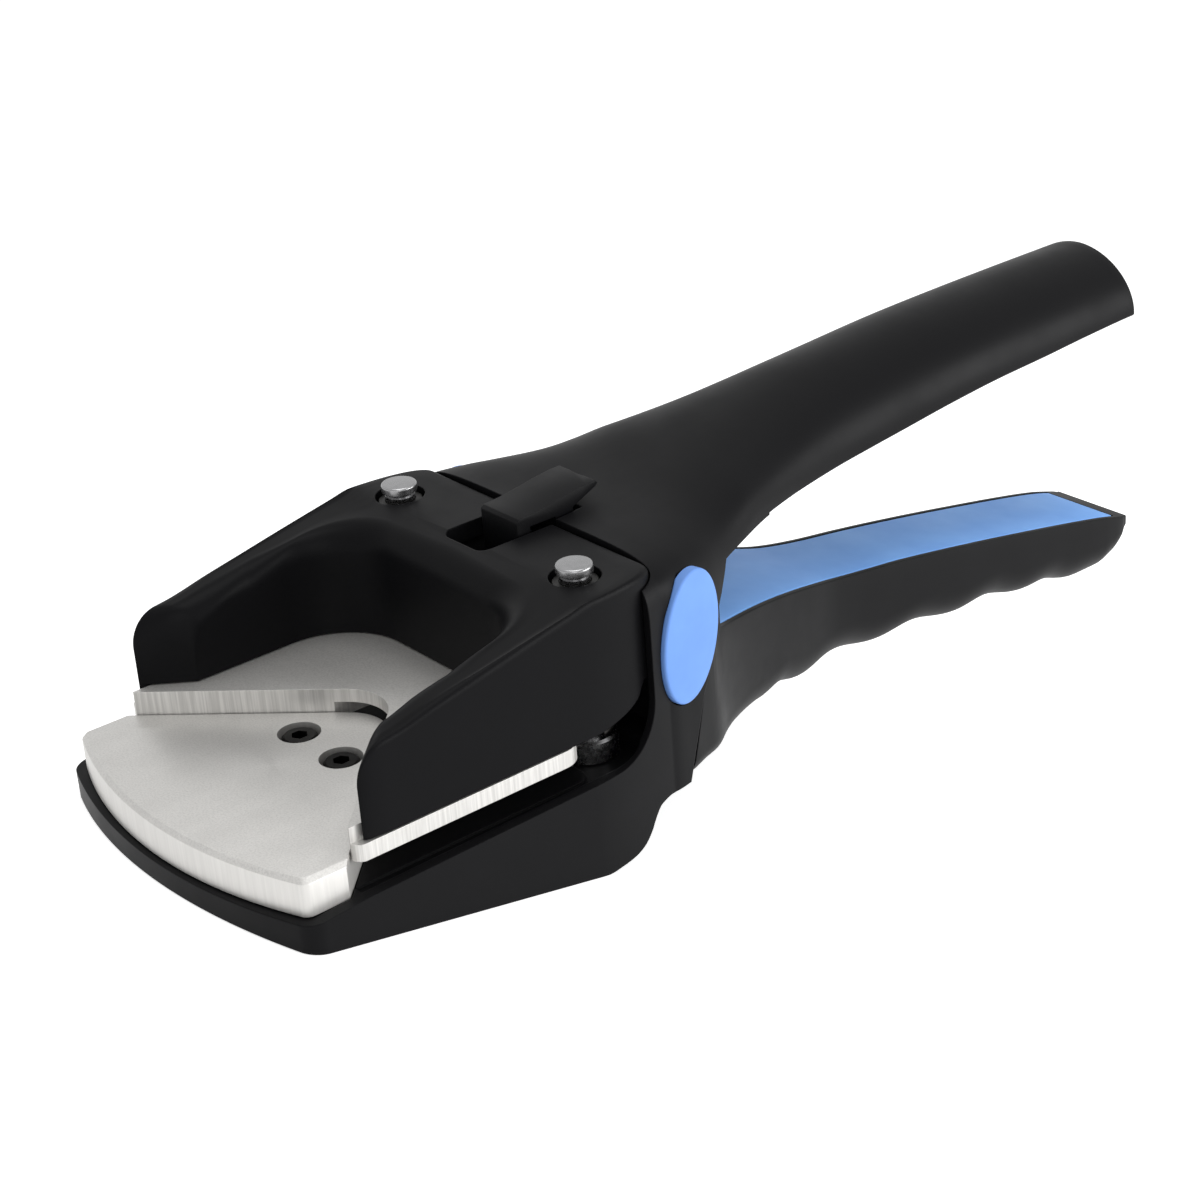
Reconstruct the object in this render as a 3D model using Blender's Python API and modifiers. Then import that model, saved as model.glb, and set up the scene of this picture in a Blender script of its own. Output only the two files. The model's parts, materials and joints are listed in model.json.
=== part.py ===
"""Hand-held corner rounder: a plier with a fixed upper handle and anvil, a squeezed lower lever, and a
cutting head that the lever drives down two guide posts.

Everything is modelled in metres in the tool's own frame: X across the tool, Y from the blades towards
the handles, Z up along the guide posts. A card lies on the anvil at zero height, and the tips of the
cutter's notch are at y = 0. An empty then leans that frame back, so that the base stands flat.
"""
import math

import bmesh
import bpy
from mathutils import Matrix, Vector

# Motion and clearances
REST_TILT = math.radians(10.8)
STROKE = 0.0045
SEAT_GAP = 0.0003
RUN_GAP = 0.00035
OVERRUN = 0.0030
MERGE_DISTANCE = 0.00001
FLATNESS = math.radians(0.02)
CREASE_ANGLE = math.radians(32.0)

# Cutter plate, the steel blade with the notch
NOTCH_HALF_WIDTH = 0.0364
NOSE_RADIUS = 0.0100
SHEAR_GAP = 0.0003
CUTTER_HALF_WIDTH = 0.0386
CUTTER_LENGTH = 0.0515
CUTTER_TOP_Z = 0.0049
CUTTER_OVERLAP = 0.0016
CUTTER_REAR_RADIUS = 0.0050
CUTTER_TIP_RADIUS = 0.0020
CUTTER_REBATE_X = 0.0366
CUTTER_REBATE_Z = 0.0018
CHIP_POCKET_HALF_WIDTH = 0.0088
CHIP_POCKET_HEIGHT = 0.0021
CHIP_POCKET_RELIEF = 0.0012
CUTTER_SCREW_X = 0.0335
CUTTER_SCREW_FRONT_Y = 0.0150
CUTTER_SCREW_REAR_Y = 0.0400
CUTTER_SCREW_RADIUS = 0.0015
CUTTER_SCREW_HEAD_RADIUS = 0.0028
CUTTER_SCREW_HEAD_HEIGHT = 0.0016
CUTTER_SCREW_LENGTH = 0.0140

# Anvil plate, the steel table with the rounded nose
ANVIL_HALF_WIDTH = 0.0385
ANVIL_THICKNESS = 0.0075
ANVIL_REACH = 0.0190
ANVIL_FRONT_RADIUS = 0.1000
ANVIL_CORNER_RADIUS = 0.0020
ANVIL_CHAMFER = 0.0012
ANVIL_SCREW_X = 0.0070
ANVIL_SCREW_Y = 0.0181
SOCKET_HEAD_RADIUS = 0.0035
SOCKET_HEAD_HEIGHT = 0.0034
SOCKET_HEAD_CHAMFER = 0.0005
SOCKET_SHANK_RADIUS = 0.0020
SOCKET_SHANK_LENGTH = 0.0090
SOCKET_HEX_RADIUS = 0.0017
SOCKET_HEX_DEPTH = 0.0020
COUNTERBORE_RADIUS = 0.0042
COUNTERBORE_DEPTH = 0.0042

# Base tray, the front of the fixed body
BODY_HALF_WIDTH = 0.0413
LIP_THICKNESS = 0.0009
TRAY_CORNER_RADIUS = 0.0045
TRAY_GROOVE_WIDTH = 0.0025
LEDGE_CLEARANCE = 0.0012
TRAY_WELL_REAR_Y = 0.0672
LEDGE_REAR_Y = 0.0538
LEDGE_CORNER_RADIUS = 0.0030
RIM_LIP_DEPTH = 0.0078
RIM_LIP_REACH = 0.0120
RIM_FRONT_DEPTH = 0.0070
RIM_REAR_DEPTH = 0.0062
CHEEK_FRONT_Y = 0.0679
CHEEK_CORNER_RADIUS = 0.0110
TRAY_FRONT_RADIUS = 0.1150
UNDERSIDE_DEPTH = 0.0160
UNDERSIDE_END_Y = 0.0520
HEEL_LENGTH = 0.0200
HEEL_RISE = 0.0120
BODY_ROOT_Z = -0.0342
RIM_EDGE = 0.0006
# The rounded heel behind the flat underside: place and rise as shares of the heel's length and rise
HEEL_SHARES = ((0.0, 0.0), (0.2, 0.070), (0.4, 0.175), (0.525, 0.30), (0.63, 0.50), (0.71, 0.73), (0.80, 0.90),
               (1.0, 1.0))

# Base cover on the underside
COVER_HALF_WIDTH = 0.0330
COVER_FRONT_Y = 0.0010
COVER_REAR_Y = 0.0500
COVER_THICKNESS = 0.0020
COVER_CORNER_RADIUS = 0.0040
COVER_SCREW_INSET = 0.0055
COVER_SCREW_RADIUS = 0.0015
COVER_SCREW_HEAD_RADIUS = 0.0027
COVER_SCREW_HEAD_HEIGHT = 0.0012
COVER_SCREW_LENGTH = 0.0055
HOLLOW_INSET = 0.0110
HOLLOW_FRONT_Y = 0.0300
HOLLOW_ROOF_DEPTH = 0.0120

# Cutting head
DECK_HEIGHT = 0.0292
HEAD_REAR_Y = 0.0723
HEAD_HALF_WIDTH = 0.0386
HEAD_CORNER_WIDTH = 0.0076
HEAD_CORNER_LENGTH = 0.0200
POCKET_HALF_WIDTH = 0.0306
POCKET_REAR_Y = 0.0480
POCKET_CORNER_RADIUS = 0.0150
POCKET_RIM_RADIUS = 0.0058
PRONG_FACE_Y = 0.0021
PRONG_FACE_SWEEP = 0.0091
PRONG_NOSE_RADIUS = 0.0055
PRONG_CORNER_RADIUS = 0.0010
DECK_EDGE = 0.0014
SKIRT_WALL = 0.0017
SKIRT_BASE_Z = 0.0021
HEAD_UNDERCUT_X = 0.0190
HEAD_UNDERCUT_Y = 0.0520
HEAD_CAVITY_HALF_WIDTH = 0.0134
HEAD_CAVITY_FRONT_Y = 0.0570
HEAD_CAVITY_ROOF = 0.0255
DECK_SLOT_HALF_WIDTH = 0.0066
DECK_SLOT_FRONT_Y = 0.0546
DECK_SLOT_CORNER_RADIUS = 0.0025
# Height of the head's top above the card at chosen places, as shares of the deck height, against
# places as shares of the head's depth
HEAD_TOP_SHARES = ((0.0, 0.665), (0.13, 0.695), (0.28, 0.773), (0.43, 0.841), (0.59, 0.914), (0.715, 0.970),
                   (0.78, 1.0), (1.0, 1.0))

# The head's rising lower edge at the rear: place and rise as shares of the undercut's length
UNDERCUT_SHARES = ((0.0, -0.010), (0.22, 0.015), (0.46, 0.070), (0.64, 0.155), (0.75, 0.300))

# Guide posts, bushes and return springs
POST_X = 0.02765
POST_Y = 0.06005
POST_RADIUS = 0.0030
POST_HEAD_RADIUS = 0.0036
POST_HEAD_HEIGHT = 0.0017
POST_HEAD_CROWN = 0.0005
POST_NECK_RADIUS = 0.0026
POST_NECK_HEIGHT = 0.0008
POST_RISE = 0.0026
POST_FLANGE_RADIUS = 0.0059
POST_FLANGE_HEIGHT = 0.0045
POST_ROOT_DEPTH = 0.0040
BUSH_WALL = 0.0016
BUSH_BORE_GAP = 0.0001
BUSH_LENGTH = 0.0140
BUSH_SINK = 0.0009
BUSH_CHAMFER = 0.0004
SPRING_WIRE_RADIUS = 0.0006
SPRING_RADIUS = 0.0047
SPRING_TURNS = 7
SPRING_POINTS_PER_TURN = 9
SPRING_POCKET_RADIUS = 0.0060

# Lever pivot, drive nose and pressure pad
PIVOT_BEHIND_HEAD = 0.0062
PIVOT_Z = 0.01285
PIVOT_PIN_RADIUS = 0.0030
PIVOT_PIN_INSET = 0.0034
HUB_RADIUS = 0.0054
HUB_HALF_WIDTH = 0.0315
BUSH_LINER_WALL = 0.0010
PIVOT_BUSH_LENGTH = 0.0080
NOSE_AHEAD = 0.0146
NOSE_LIFT = 0.0024
ROLLER_RADIUS = 0.0030
ROLLER_HALF_WIDTH = 0.0080
NOSE_PIN_RADIUS = 0.0015
FORK_THICKNESS = 0.0030
FORK_HEIGHT = 0.0046
PAD_HALF_WIDTH = 0.0105
PAD_LENGTH = 0.0060
PAD_THICKNESS = 0.0030
CORE_BEND_Z = 0.0028
CORE_TAIL_HALF_WIDTH = 0.0055
CORE_TAIL_HEIGHT = 0.0075
CORE_NECK_SHARE = 0.7
CORE_TAIL_START_SHARE = 1.6

# Waist and upper handle, an upturned trough
FRONT_WALL = 0.0030
SHELL_WALL = 0.0030
HANDLE_LENGTH = 0.1578
HANDLE_TOP = 0.0427
HANDLE_END_ROUNDING = 0.0007
REAR_EDGE_AHEAD = 0.0034
REAR_EDGE_BOTTOM_Z = -0.0230
REAR_EDGE_STEP_Y = 0.0041
REAR_EDGE_STEP_Z = -0.0010
REAR_EDGE_UPRIGHT_Y = 0.0107
REAR_EDGE_UPRIGHT_LOW = 0.0024
REAR_EDGE_UPRIGHT_HIGH = 0.0015
REAR_EDGE_CROTCH_Y = 0.0157
REAR_EDGE_CROTCH_Z = 0.0216
CROTCH_RUN_SHARE = 0.03
SWING_START = 47.0
SWING_END = 10.0
NOSE_WINDOW_HALF_WIDTH = 0.0325
NOSE_WINDOW_LOW = 0.0055
NOSE_WINDOW_HIGH = 0.0206
WAIST_FLOOR_Z = -0.0040
# Sections from the head to the handle's end: place as a share of the handle's length, half width as a
# share of the body's, then bottom, shoulder and top as shares of the handle's top, and how square it is
HANDLE_STATION_SHARES = (
    (0.000, 0.918, 0.520, 0.280, 0.699, 0.32),
    (0.043, 0.889, 0.520, 0.280, 0.708, 0.37),
    (0.075, 0.860, 0.520, 0.270, 0.718, 0.44),
    (0.100, 0.829, 0.520, 0.280, 0.727, 0.50),
    (0.138, 0.758, 0.520, 0.340, 0.748, 0.60),
    (0.176, 0.689, 0.525, 0.440, 0.775, 0.70),
    (0.221, 0.617, 0.532, 0.540, 0.808, 0.80),
    (0.272, 0.556, 0.540, 0.562, 0.842, 0.88),
    (0.336, 0.499, 0.548, 0.571, 0.880, 0.94),
    (0.431, 0.445, 0.562, 0.583, 0.927, 0.98),
    (0.527, 0.423, 0.586, 0.607, 0.956, 1.00),
    (0.622, 0.411, 0.616, 0.636, 0.977, 1.00),
    (0.718, 0.403, 0.640, 0.659, 0.990, 1.02),
    (0.813, 0.397, 0.653, 0.671, 0.998, 1.04),
    (0.909, 0.391, 0.670, 0.685, 1.001, 1.05),
    (1.000, 0.386, 0.679, 0.694, 1.001, 1.05),
)
BODY_RING_CROWDING = 1.35
FLANK_CURVE = 1.6
TROUGH_START_SHARE = 0.245
TROUGH_CLEAR_SHARE = 0.012
PLUG_START_SHARE = 0.750
PLUG_END_SHARE = 0.848
PLUG_DROP = 0.0012
PLUG_WALL = 0.0030

# Oval caps over the pivot
CAP_HALF_LENGTH = 0.0134
CAP_HALF_WIDTH = 0.0081
CAP_THICKNESS = 0.0024
CAP_SINK = 0.0016
CAP_LEAN = math.radians(12.0)
CAP_TURN = math.radians(11.0)
CAP_CROWN = 0.0005

# Lock latch
LATCH_HALF_WIDTH = 0.0056
LATCH_FRONT_Y = 0.0638
LATCH_TOP_Z = 0.0322
LATCH_ARM_THICKNESS = 0.0023
LATCH_LEG_THICKNESS = 0.0032
LATCH_LEG_BOTTOM_Z = 0.0230
LATCH_TAIL_Y = 0.0840
LATCH_TAIL_Z = 0.0342
LATCH_TAIL_THICKNESS = 0.0012
LATCH_SCOOP_RADIUS = 0.0090
LATCH_SCOOP_DEPTH = 0.0012
LATCH_PIVOT_Y = 0.0754
LATCH_PIVOT_Z = 0.0268
LATCH_LUG_HALF_LENGTH = 0.0022
LATCH_LUG_DROP = 0.0026
LATCH_PIN_RADIUS = 0.0012
LATCH_PIN_HALF_LENGTH = 0.0095
LATCH_SLOT_GAP = 0.0008
LATCH_SLOT_FLOOR_Z = 0.0215

# Lower lever
LEVER_LENGTH = 0.1624
LEVER_END_DROP = 0.0228
GRIP_HALF_WIDTH = 0.0116
GRIP_WALL = 0.0024
INLAY_RIM = 0.0011
INLAY_THICKNESS = 0.0026
INLAY_FRONT_SHARE = 0.1070
INLAY_END_SHARE = 0.9725
TAIL_END_SHARE = 0.7500
FINGER_DEPTH = 0.0015
ROUNDING_HEIGHT_SHARE = 0.6
ROUNDING_SQUASH_SHARE = 0.9
# Sections of the lever from its front to its end: place as a share of the lever's length, half width as
# a share of the grip's, top and bottom as shares of the end's drop, and the bottom rounding as a share
# of the half width
LEVER_STATION_SHARES = (
    (0.000, 3.23, 1.050, -0.830, 0.12),
    (0.038, 3.16, 1.000, -0.790, 0.12),
    (0.069, 3.02, 0.710, -0.785, 0.13),
    (0.094, 2.89, 0.490, -0.800, 0.14),
    (0.110, 2.74, 0.392, -0.835, 0.16),
    (0.138, 2.43, 0.272, -0.885, 0.20),
    (0.169, 2.18, 0.196, -0.905, 0.25),
    (0.231, 1.83, 0.098, -0.955, 0.36),
    (0.294, 1.53, -0.005, -1.070, 0.50),
    (0.356, 1.28, -0.115, -1.130, 0.62),
    (0.419, 1.08, -0.225, -1.167, 0.74),
    (0.481, 1.02, -0.300, -1.202, 0.80),
    (0.544, 1.00, -0.362, -1.247, 0.80),
    (0.669, 1.00, -0.510, -1.327, 0.80),
    (0.794, 1.00, -0.675, -1.427, 0.80),
    (0.900, 1.00, -0.825, -1.548, 0.80),
    (0.950, 0.99, -0.905, -1.545, 0.78),
    (0.975, 0.97, -0.955, -1.480, 0.76),
    (0.990, 0.94, -0.985, -1.370, 0.74),
    (1.000, 0.90, -1.005, -1.210, 0.70),
)
FINGER_CREST_SHARES = (0.245, 0.352, 0.508, 0.660, 0.795, 0.910)

SCREW_CORNERS = ("front_left", "front_right", "rear_left", "rear_right")

# Facets
ARCH_STEPS = 18
CORNER_STEPS = 5
PRONG_STEPS = 4
ROUND_STEPS = 32
FINE_ROUND_STEPS = 16
LEVER_RINGS = 32
BODY_RINGS = 24

# Places worked out from the sizes above
PIVOT_Y = HEAD_REAR_Y + PIVOT_BEHIND_HEAD
NOTCH_DEPTH = NOTCH_HALF_WIDTH
NOSE_CENTRE_Y = NOTCH_DEPTH - NOSE_RADIUS * math.sqrt(2.0)
NOSE_Y = PIVOT_Y - NOSE_AHEAD
NOSE_Z = PIVOT_Z + NOSE_LIFT
PAD_TOP_Z = NOSE_Z - ROLLER_RADIUS - SEAT_GAP
TRAY_FLOOR_Z = -ANVIL_THICKNESS - SEAT_GAP
LEDGE_Z = -(CUTTER_OVERLAP + STROKE + LEDGE_CLEARANCE)
CUTTER_BASE_Z = -CUTTER_OVERLAP
HOUSING_BASE_Z = CUTTER_TOP_Z + SEAT_GAP
POST_TOP_Z = DECK_HEIGHT + POST_RISE
BUSH_TOP_Z = DECK_HEIGHT - BUSH_SINK
BUSH_BASE_Z = BUSH_TOP_Z - BUSH_LENGTH
FLANGE_TOP_Z = TRAY_FLOOR_Z + SEAT_GAP + POST_FLANGE_HEIGHT
BODY_FRONT_Y = HEAD_REAR_Y + RUN_GAP
HANDLE_END_Y = HEAD_REAR_Y + HANDLE_LENGTH
LEVER_FRONT_Y = HEAD_REAR_Y
FORK_INNER_X = ROLLER_HALF_WIDTH + SEAT_GAP
FORK_OUTER_X = FORK_INNER_X + FORK_THICKNESS
FAR = BODY_HALF_WIDTH + ANVIL_FRONT_RADIUS / 2.0


# Scene, materials and placing

def clear_scene():
    for old in list(bpy.data.objects):
        bpy.data.objects.remove(old, do_unlink=True)


def new_collection(name):
    collection = bpy.data.collections.new(name)
    bpy.context.scene.collection.children.link(collection)
    return collection


def make_material(name, colour, roughness, metallic=0.0):
    material = bpy.data.materials.new(name)
    material.use_nodes = True
    shader = material.node_tree.nodes["Principled BSDF"]
    shader.inputs["Base Color"].default_value = (*colour, 1.0)
    shader.inputs["Roughness"].default_value = roughness
    shader.inputs["Metallic"].default_value = metallic
    material.diffuse_color = (*colour, 1.0)
    return material


def body_plastic():
    return make_material("black_body_plastic", (0.012, 0.012, 0.013), 0.42)


def head_plastic():
    return make_material("black_head_plastic", (0.013, 0.013, 0.014), 0.38)


def grip_plastic():
    return make_material("black_grip_plastic", (0.014, 0.014, 0.015), 0.50)


def blue_plastic():
    return make_material("blue_plastic", (0.130, 0.300, 0.820), 0.45)


def blade_steel():
    return make_material("ground_steel", (0.560, 0.550, 0.530), 0.34, 1.0)


def bright_steel():
    return make_material("bright_steel", (0.600, 0.600, 0.600), 0.22, 1.0)


def dark_steel():
    return make_material("blackened_steel", (0.050, 0.048, 0.046), 0.35, 1.0)


def spring_steel():
    return make_material("spring_steel", (0.380, 0.370, 0.360), 0.30, 1.0)


def bronze():
    return make_material("sintered_bronze", (0.320, 0.180, 0.080), 0.48, 1.0)


def cast_aluminium():
    return make_material("cast_aluminium", (0.420, 0.420, 0.430), 0.50, 1.0)


def attach(obj, parent, origin, parent_origin):
    """Hangs an object on an empty, with its own origin at a place given in the tool's frame."""
    obj.parent = parent
    obj.location = Vector(origin) - Vector(parent_origin)


def add_part(group, name, mesh, material, origin=(0.0, 0.0, 0.0), smooth=True):
    """Makes a named piece from a mesh given in the tool's frame, with its origin where it is asked."""
    mesh.name = name
    mesh.transform(Matrix.Translation(-Vector(origin)))
    mesh.materials.clear()
    mesh.materials.append(material)
    if smooth:
        mesh.shade_smooth()
        mesh.set_sharp_from_angle(angle=CREASE_ANGLE)
    obj = bpy.data.objects.new(name, mesh)
    PARTS.objects.link(obj)
    attach(obj, group["empty"], origin, group["origin"])
    return obj


def add_cutter(name, mesh):
    """Makes a hidden cutting body from a mesh given in the tool's frame."""
    mesh.name = name
    obj = bpy.data.objects.new(name, mesh)
    CUTTERS.objects.link(obj)
    obj.parent = TOOL["empty"]
    obj.hide_render = True
    obj.display_type = "WIRE"
    return obj


def combine(obj, other, operation="DIFFERENCE"):
    modifier = obj.modifiers.new(operation.lower() + "_" + other.name, "BOOLEAN")
    modifier.operation = operation
    modifier.object = other
    modifier.solver = "EXACT"
    return modifier


def cut(obj, name, mesh):
    combine(obj, add_cutter(name, mesh))


def join(obj, name, mesh):
    combine(obj, add_cutter(name, mesh), "UNION")


# Shapes

def mesh_from(build):
    """Runs a builder on a new bmesh and returns the mesh with its faces pointing out."""
    form = bmesh.new()
    build(form)
    bmesh.ops.recalc_face_normals(form, faces=form.faces)
    mesh = bpy.data.meshes.new("form")
    form.to_mesh(mesh)
    form.free()
    return mesh


def block(low, high):
    """A box between two corners."""
    size = [b - a for a, b in zip(low, high)]
    centre = [(a + b) / 2.0 for a, b in zip(low, high)]

    def build(form):
        bmesh.ops.create_cube(form, size=1.0)
        bmesh.ops.scale(form, vec=size, verts=form.verts)
        bmesh.ops.translate(form, vec=centre, verts=form.verts)
    return mesh_from(build)


def rod(start, end, radius, steps=ROUND_STEPS, end_radius=None):
    """A cylinder, or a cone where the end has its own radius."""
    start = Vector(start)
    span = Vector(end) - start
    far_radius = radius if end_radius is None else end_radius

    def build(form):
        turn = span.to_track_quat("Z", "Y").to_matrix().to_4x4()
        place = Matrix.Translation(start + span / 2.0) @ turn
        bmesh.ops.create_cone(form, cap_ends=True, segments=steps, radius1=radius, radius2=far_radius,
                              depth=span.length, matrix=place)
    return mesh_from(build)


def flat_solid(points, low, high, across=False):
    """A flat outline given thickness. Across, the outline is in Y and Z and the thickness along X."""
    data = bpy.data.curves.new("outline", "CURVE")
    data.dimensions = "2D"
    data.fill_mode = "BOTH"
    data.extrude = (high - low) / 2.0
    spline = data.splines.new("POLY")
    spline.points.add(len(points) - 1)
    for point, (first, second) in zip(spline.points, points):
        point.co = (first, second, 0.0, 1.0)
    spline.use_cyclic_u = True
    middle = (low + high) / 2.0
    if across:
        place = Matrix(((0.0, 0.0, 1.0, middle), (1.0, 0.0, 0.0, 0.0), (0.0, 1.0, 0.0, 0.0),
                        (0.0, 0.0, 0.0, 1.0)))
    else:
        place = Matrix.Translation((0.0, 0.0, middle))
    return curve_mesh(data, place)


def curve_mesh(data, place=Matrix.Identity(4)):
    """Turns a curve into a mesh with welded caps, and removes the curve."""
    obj = bpy.data.objects.new("curve", data)
    bpy.context.scene.collection.objects.link(obj)
    bpy.context.view_layer.update()
    evaluated = obj.evaluated_get(bpy.context.evaluated_depsgraph_get())
    mesh = bpy.data.meshes.new_from_object(evaluated)
    bpy.data.objects.remove(obj, do_unlink=True)
    form = bmesh.new()
    form.from_mesh(mesh)
    bmesh.ops.remove_doubles(form, verts=form.verts, dist=MERGE_DISTANCE)
    bmesh.ops.transform(form, matrix=place, verts=form.verts)
    bmesh.ops.recalc_face_normals(form, faces=form.faces)
    form.to_mesh(mesh)
    form.free()
    return mesh


def loft(rings):
    """A closed body through rings of equally many points."""
    def build(form):
        rows = [[form.verts.new(point) for point in ring] for ring in rings]
        count = len(rows[0])
        for row, following in zip(rows, rows[1:]):
            for index in range(count):
                beside = (index + 1) % count
                form.faces.new((row[index], row[beside], following[beside], following[index]))
        form.faces.new(rows[0])
        form.faces.new(rows[-1])
        bmesh.ops.connect_verts_nonplanar(form, angle_limit=FLATNESS, faces=form.faces)
    return mesh_from(build)


def add_turned(group, name, profile, material, origin, axis="Z", steps=ROUND_STEPS):
    """A turned piece: its profile, from top to bottom, is swept round its own Z axis."""
    mesh = bpy.data.meshes.new(name)
    points = [(radius, 0.0, height) for radius, height in profile]
    mesh.from_pydata(points, [(index, index + 1) for index in range(len(points) - 1)], [])
    mesh.materials.append(material)
    obj = bpy.data.objects.new(name, mesh)
    PARTS.objects.link(obj)
    attach(obj, group["empty"], origin, group["origin"])
    if axis == "X":
        obj.rotation_euler = (0.0, math.radians(90.0), 0.0)
    screw = obj.modifiers.new("turn", "SCREW")
    screw.axis = "Z"
    screw.steps = steps
    screw.render_steps = steps
    screw.use_merge_vertices = True
    screw.merge_threshold = MERGE_DISTANCE
    screw.use_smooth_shade = True
    return obj


def arc(centre, radius, start, end, steps=CORNER_STEPS, second_radius=None):
    """Points along an arc, both ends included, with angles in degrees."""
    other = radius if second_radius is None else second_radius
    points = []
    for index in range(steps + 1):
        angle = math.radians(start + (end - start) * index / steps)
        points.append((centre[0] + radius * math.cos(angle), centre[1] + other * math.sin(angle)))
    return points


def mirrored(points):
    """The same outline on the other side, in reverse order."""
    return [(-first, second) for first, second in reversed(points)]


def between(table, place):
    """Reads a table of stations at a place, on a smooth curve through the stations."""
    last = len(table) - 1
    if place <= table[0][0]:
        return table[0][1:]
    if place >= table[last][0]:
        return table[last][1:]
    index = max(i for i in range(last) if table[i][0] <= place)
    here, there = table[index], table[index + 1]
    before = table[max(index - 1, 0)]
    after = table[min(index + 2, last)]
    span = there[0] - here[0]
    share = (place - here[0]) / span
    values = []
    for column in range(1, len(here)):
        slope_here = slope(before, here, there, column) * span
        slope_there = slope(here, there, after, column) * span
        rest = 1.0 - share
        values.append(here[column] * (1.0 + 2.0 * share) * rest ** 2 + slope_here * share * rest ** 2
                      + there[column] * share ** 2 * (3.0 - 2.0 * share) - slope_there * share ** 2 * rest)
    return tuple(values)


def slope(before, here, after, column):
    """The slope at a station: level where the values turn, otherwise the gentler way of joining them."""
    if after[0] == here[0] or before[0] == here[0]:
        return 0.0
    rising = (here[column] - before[column]) / (here[0] - before[0])
    leaving = (after[column] - here[column]) / (after[0] - here[0])
    if rising * leaving <= 0.0:
        return 0.0
    return 2.0 * rising * leaving / (rising + leaving)


# Blades

def front_outline(half_width, reach, radius, corner):
    """The bowed front edge with rounded corners, from the left side to the right."""
    centre_y = radius - reach
    corner_x = half_width - corner
    corner_y = centre_y - math.sqrt((radius - corner) ** 2 - corner_x ** 2)
    turn = math.degrees(math.atan2(corner_y - centre_y, corner_x))
    right = arc((corner_x, corner_y), corner, turn, 0.0)
    bow = arc((0.0, centre_y), radius, -180.0 - turn, turn, 2 * CORNER_STEPS)
    left = [(-x, y) for x, y in reversed(right)]
    return left + bow[1:-1] + right


def nose_arc(inset, start, end):
    return arc((0.0, NOSE_CENTRE_Y), NOSE_RADIUS - inset, start, end, 2 * CORNER_STEPS)


def cutter_outline():
    rear = arc((CUTTER_HALF_WIDTH - CUTTER_REAR_RADIUS, CUTTER_LENGTH - CUTTER_REAR_RADIUS),
               CUTTER_REAR_RADIUS, 0.0, 90.0)
    radius = CUTTER_TIP_RADIUS
    tip = arc((CUTTER_HALF_WIDTH - radius, radius), radius, -90.0, 0.0)
    right = [(NOTCH_HALF_WIDTH, 0.0)] + tip + rear
    return right + mirrored(right) + nose_arc(0.0, 135.0, 45.0)


def anvil_outline(grow=0.0, edge=0.0):
    """The anvil seen from above, grown for the seat that it lies in, or with its outer edges set back."""
    half_width = ANVIL_HALF_WIDTH + grow - edge
    front = front_outline(half_width, ANVIL_REACH + grow - edge, ANVIL_FRONT_RADIUS + grow - edge,
                          ANVIL_CORNER_RADIUS + grow - edge)
    inset = SHEAR_GAP - grow
    shoulder = NOTCH_DEPTH - inset * math.sqrt(2.0) - half_width
    return front + [(half_width, shoulder)] + nose_arc(inset, 45.0, 135.0) + [(-half_width, shoulder)]


def screw_places(x, ys):
    return [(side * x, y) for y in ys for side in (-1.0, 1.0)]


def cutter_screw_places():
    return screw_places(CUTTER_SCREW_X, (CUTTER_SCREW_FRONT_Y, CUTTER_SCREW_REAR_Y))


def make_cutter_plate():
    mesh = flat_solid(cutter_outline(), CUTTER_BASE_Z, CUTTER_TOP_Z)
    plate = add_part(HEAD, "cutter_plate", mesh, blade_steel(), (0.0, 0.0, 0.0))
    for side in (-1.0, 1.0):
        ends = sorted((side * CUTTER_REBATE_X, side * FAR))
        cut(plate, f"skirt_rebate_{side:+.0f}", block((ends[0], -OVERRUN, CUTTER_REBATE_Z),
                                                      (ends[1], CUTTER_LENGTH + OVERRUN, DECK_HEIGHT)))
    tip_y = NOTCH_DEPTH + CHIP_POCKET_RELIEF
    pocket = [(-CHIP_POCKET_HALF_WIDTH, NOTCH_DEPTH - CHIP_POCKET_HALF_WIDTH),
              (CHIP_POCKET_HALF_WIDTH, NOTCH_DEPTH - CHIP_POCKET_HALF_WIDTH)]
    pocket += arc((CHIP_POCKET_HALF_WIDTH - CHIP_POCKET_RELIEF, tip_y - CHIP_POCKET_RELIEF),
                  CHIP_POCKET_RELIEF, 0.0, 90.0)
    pocket += arc((CHIP_POCKET_RELIEF - CHIP_POCKET_HALF_WIDTH, tip_y - CHIP_POCKET_RELIEF),
                  CHIP_POCKET_RELIEF, 90.0, 180.0)
    base = CUTTER_BASE_Z
    cut(plate, "chip_pocket", flat_solid(pocket, base - OVERRUN, CHIP_POCKET_HEIGHT))
    for index, (x, y) in enumerate(cutter_screw_places()):
        radius = CUTTER_SCREW_HEAD_RADIUS + SEAT_GAP
        top = base + CUTTER_SCREW_HEAD_HEIGHT + SEAT_GAP
        cut(plate, f"cutter_screw_sink_{index}",
            rod((x, y, base - OVERRUN), (x, y, top), radius, FINE_ROUND_STEPS))
        hole = CUTTER_SCREW_RADIUS + SEAT_GAP
        cut(plate, f"cutter_screw_hole_{index}",
            rod((x, y, base), (x, y, CUTTER_TOP_Z + OVERRUN), hole, FINE_ROUND_STEPS))


def make_cutter_screws():
    """Flat screws that hold the cutter plate up against the housing, heads down."""
    profile = flat_screw(SEAT_GAP, CUTTER_SCREW_HEAD_HEIGHT, CUTTER_SCREW_LENGTH, CUTTER_SCREW_HEAD_RADIUS,
                         CUTTER_SCREW_RADIUS)
    material = dark_steel()
    for (x, y), corner in zip(cutter_screw_places(), SCREW_CORNERS):
        place = (x, y, CUTTER_BASE_Z)
        add_turned(HEAD, f"cutter_screw_{corner}", profile, material, place, "Z", FINE_ROUND_STEPS)


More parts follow.
